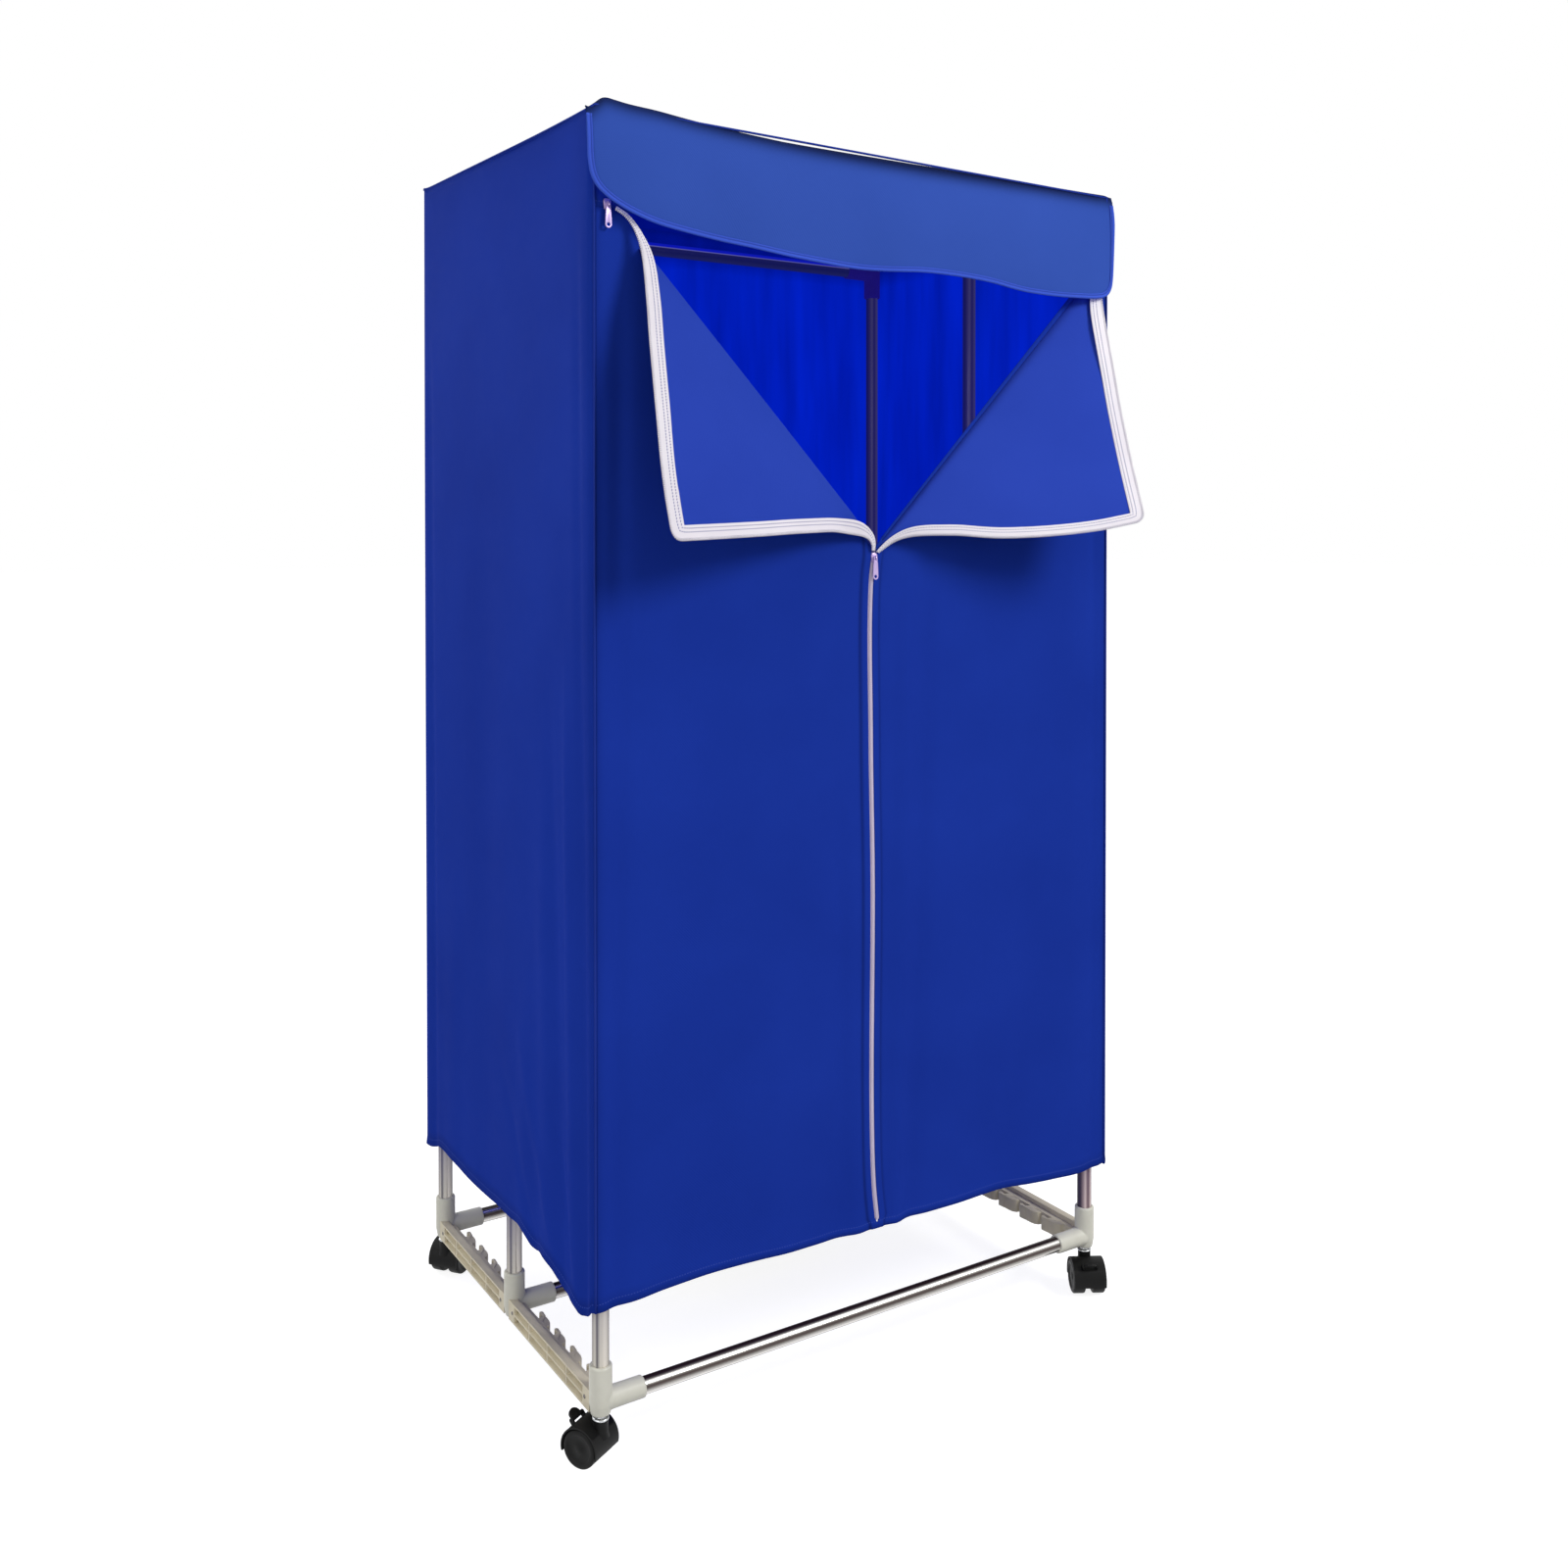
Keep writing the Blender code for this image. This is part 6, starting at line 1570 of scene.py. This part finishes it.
# Two wheels with a rolled tread edge, a dished face and a hub boss, on one axle.
def wheelMesh():
    r, o, i = caster["wheel"], caster["half"], caster["hub"]
    half = [
        (0, o - 0.0006), (0.0042, o - 0.0006), (0.005, o - 0.0013), (0.0142, o - 0.0013), (0.0152, o - 0.0004),
        (0.016, o), (0.0185, o), (0.02, o - 0.0006), (0.0208, o - 0.0016), (r, o - 0.0028), (r, i + 0.002),
        (0.0207, i + 0.0006), (0.02, i), (0.003, i),
    ]
    profile = half + [(radius, -height) for radius, height in reversed(half)]
    mesh = latheMesh("wheels", profile, 96)
    mesh.transform(Matrix.Rotation(math.pi / 2, 4, "Y"))
    return mesh


# The metal stem's collar and the ring between hood and joint.
def stemMesh():
    return latheMesh("stem", [
        (0, 0.0546), (0.005, 0.0546), (0.0062, 0.054), (0.0066, 0.053), (0.0064, 0.0522), (0.0084, 0.0516),
        (0.0092, 0.0508), (0.0092, 0.0496), (0.0084, 0.0489), (0, 0.0488),
    ], 48)


def leverMesh():
    c = caster
    piece = helper(drum(0.002, (-c["leverHalf"], 0, 0), (c["leverHalf"], 0, 0), 32))
    pin = drum(0.001, (-c["leverHalf"] - 0.0025, 0, 0), (c["leverHalf"] + 0.0025, 0, 0), 24)
    carve(piece, pin, "UNION")
    r, thick = c["paddle"], c["paddleThick"]
    turn = np.linspace(math.radians(25), math.radians(155), 24)
    outline = [(-r, 0.0), (r, 0.0)] + [(r * math.cos(t), 0.002 + r * math.sin(t)) for t in turn]
    paddle = prism(outline, -thick / 2, thick / 2)
    paddle.transform(Matrix.Rotation(math.radians(c["paddleTilt"]), 4, "X"))
    carve(piece, paddle, "UNION")
    softened(piece, 0.0004, 35)
    return released(piece)


hoods = {"front": hoodMesh(True), "rear": hoodMesh(False)}
wheels, stem, lever = wheelMesh(), stemMesh(), leverMesh()


def put(name, mesh, place, look, body, node=None):
    mesh = mesh.copy()
    mesh.transform(place)
    evenShading(mesh)
    piece = link(name, mesh, (looks[look],))
    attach(piece, body)
    if node:
        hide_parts(node)


for row in ("front", "rear"):
    for side in sideSign:
        tag, label = f"{row}_{side}", capitals(row, side)
        swivel = joints["caster_swivel_" + tag]["pos_m"]
        roll = joints["wheel_roll_" + tag]
        turn = Matrix.Rotation(math.atan2(roll["axis"][1], roll["axis"][0]), 4, "Z")
        place = Matrix.Translation((swivel[0], swivel[1], 0)) @ turn
        put("casterHood" + label, hoods[row], place, "caster", "caster_" + tag, "caster_hood_" + tag)
        put("casterStem" + label, stem, place, "steel", "caster_" + tag)
        axle = Matrix.Translation(roll["pos_m"]) @ turn
        put("casterWheels" + label, wheels, axle, "caster", "wheels_" + tag, "caster_wheels_" + tag)
        if row == "front":
            pivot = Matrix.Translation(joints["brake_press_" + tag]["pos_m"]) @ turn
            put("brakeLever" + label, lever, pivot, "caster", "lever_" + tag, "brake_lever_" + tag)
print("casters ready")


# Fan heater

for name, node, look, edge in (
    ("heaterShell", "heater_housing", "heater", 0.0008), ("heaterGrille", "heater_grille", "dark", 0.0006),
    ("heaterFan", "heater_fan", "dark", 0.0004), ("heaterFins", "heater_element", "element", 0.0004),
    ("timerKnob", "timer_knob", "dark", 0.0008),
):
    moulded(name, node, looks[look], edge)
print("heater ready")
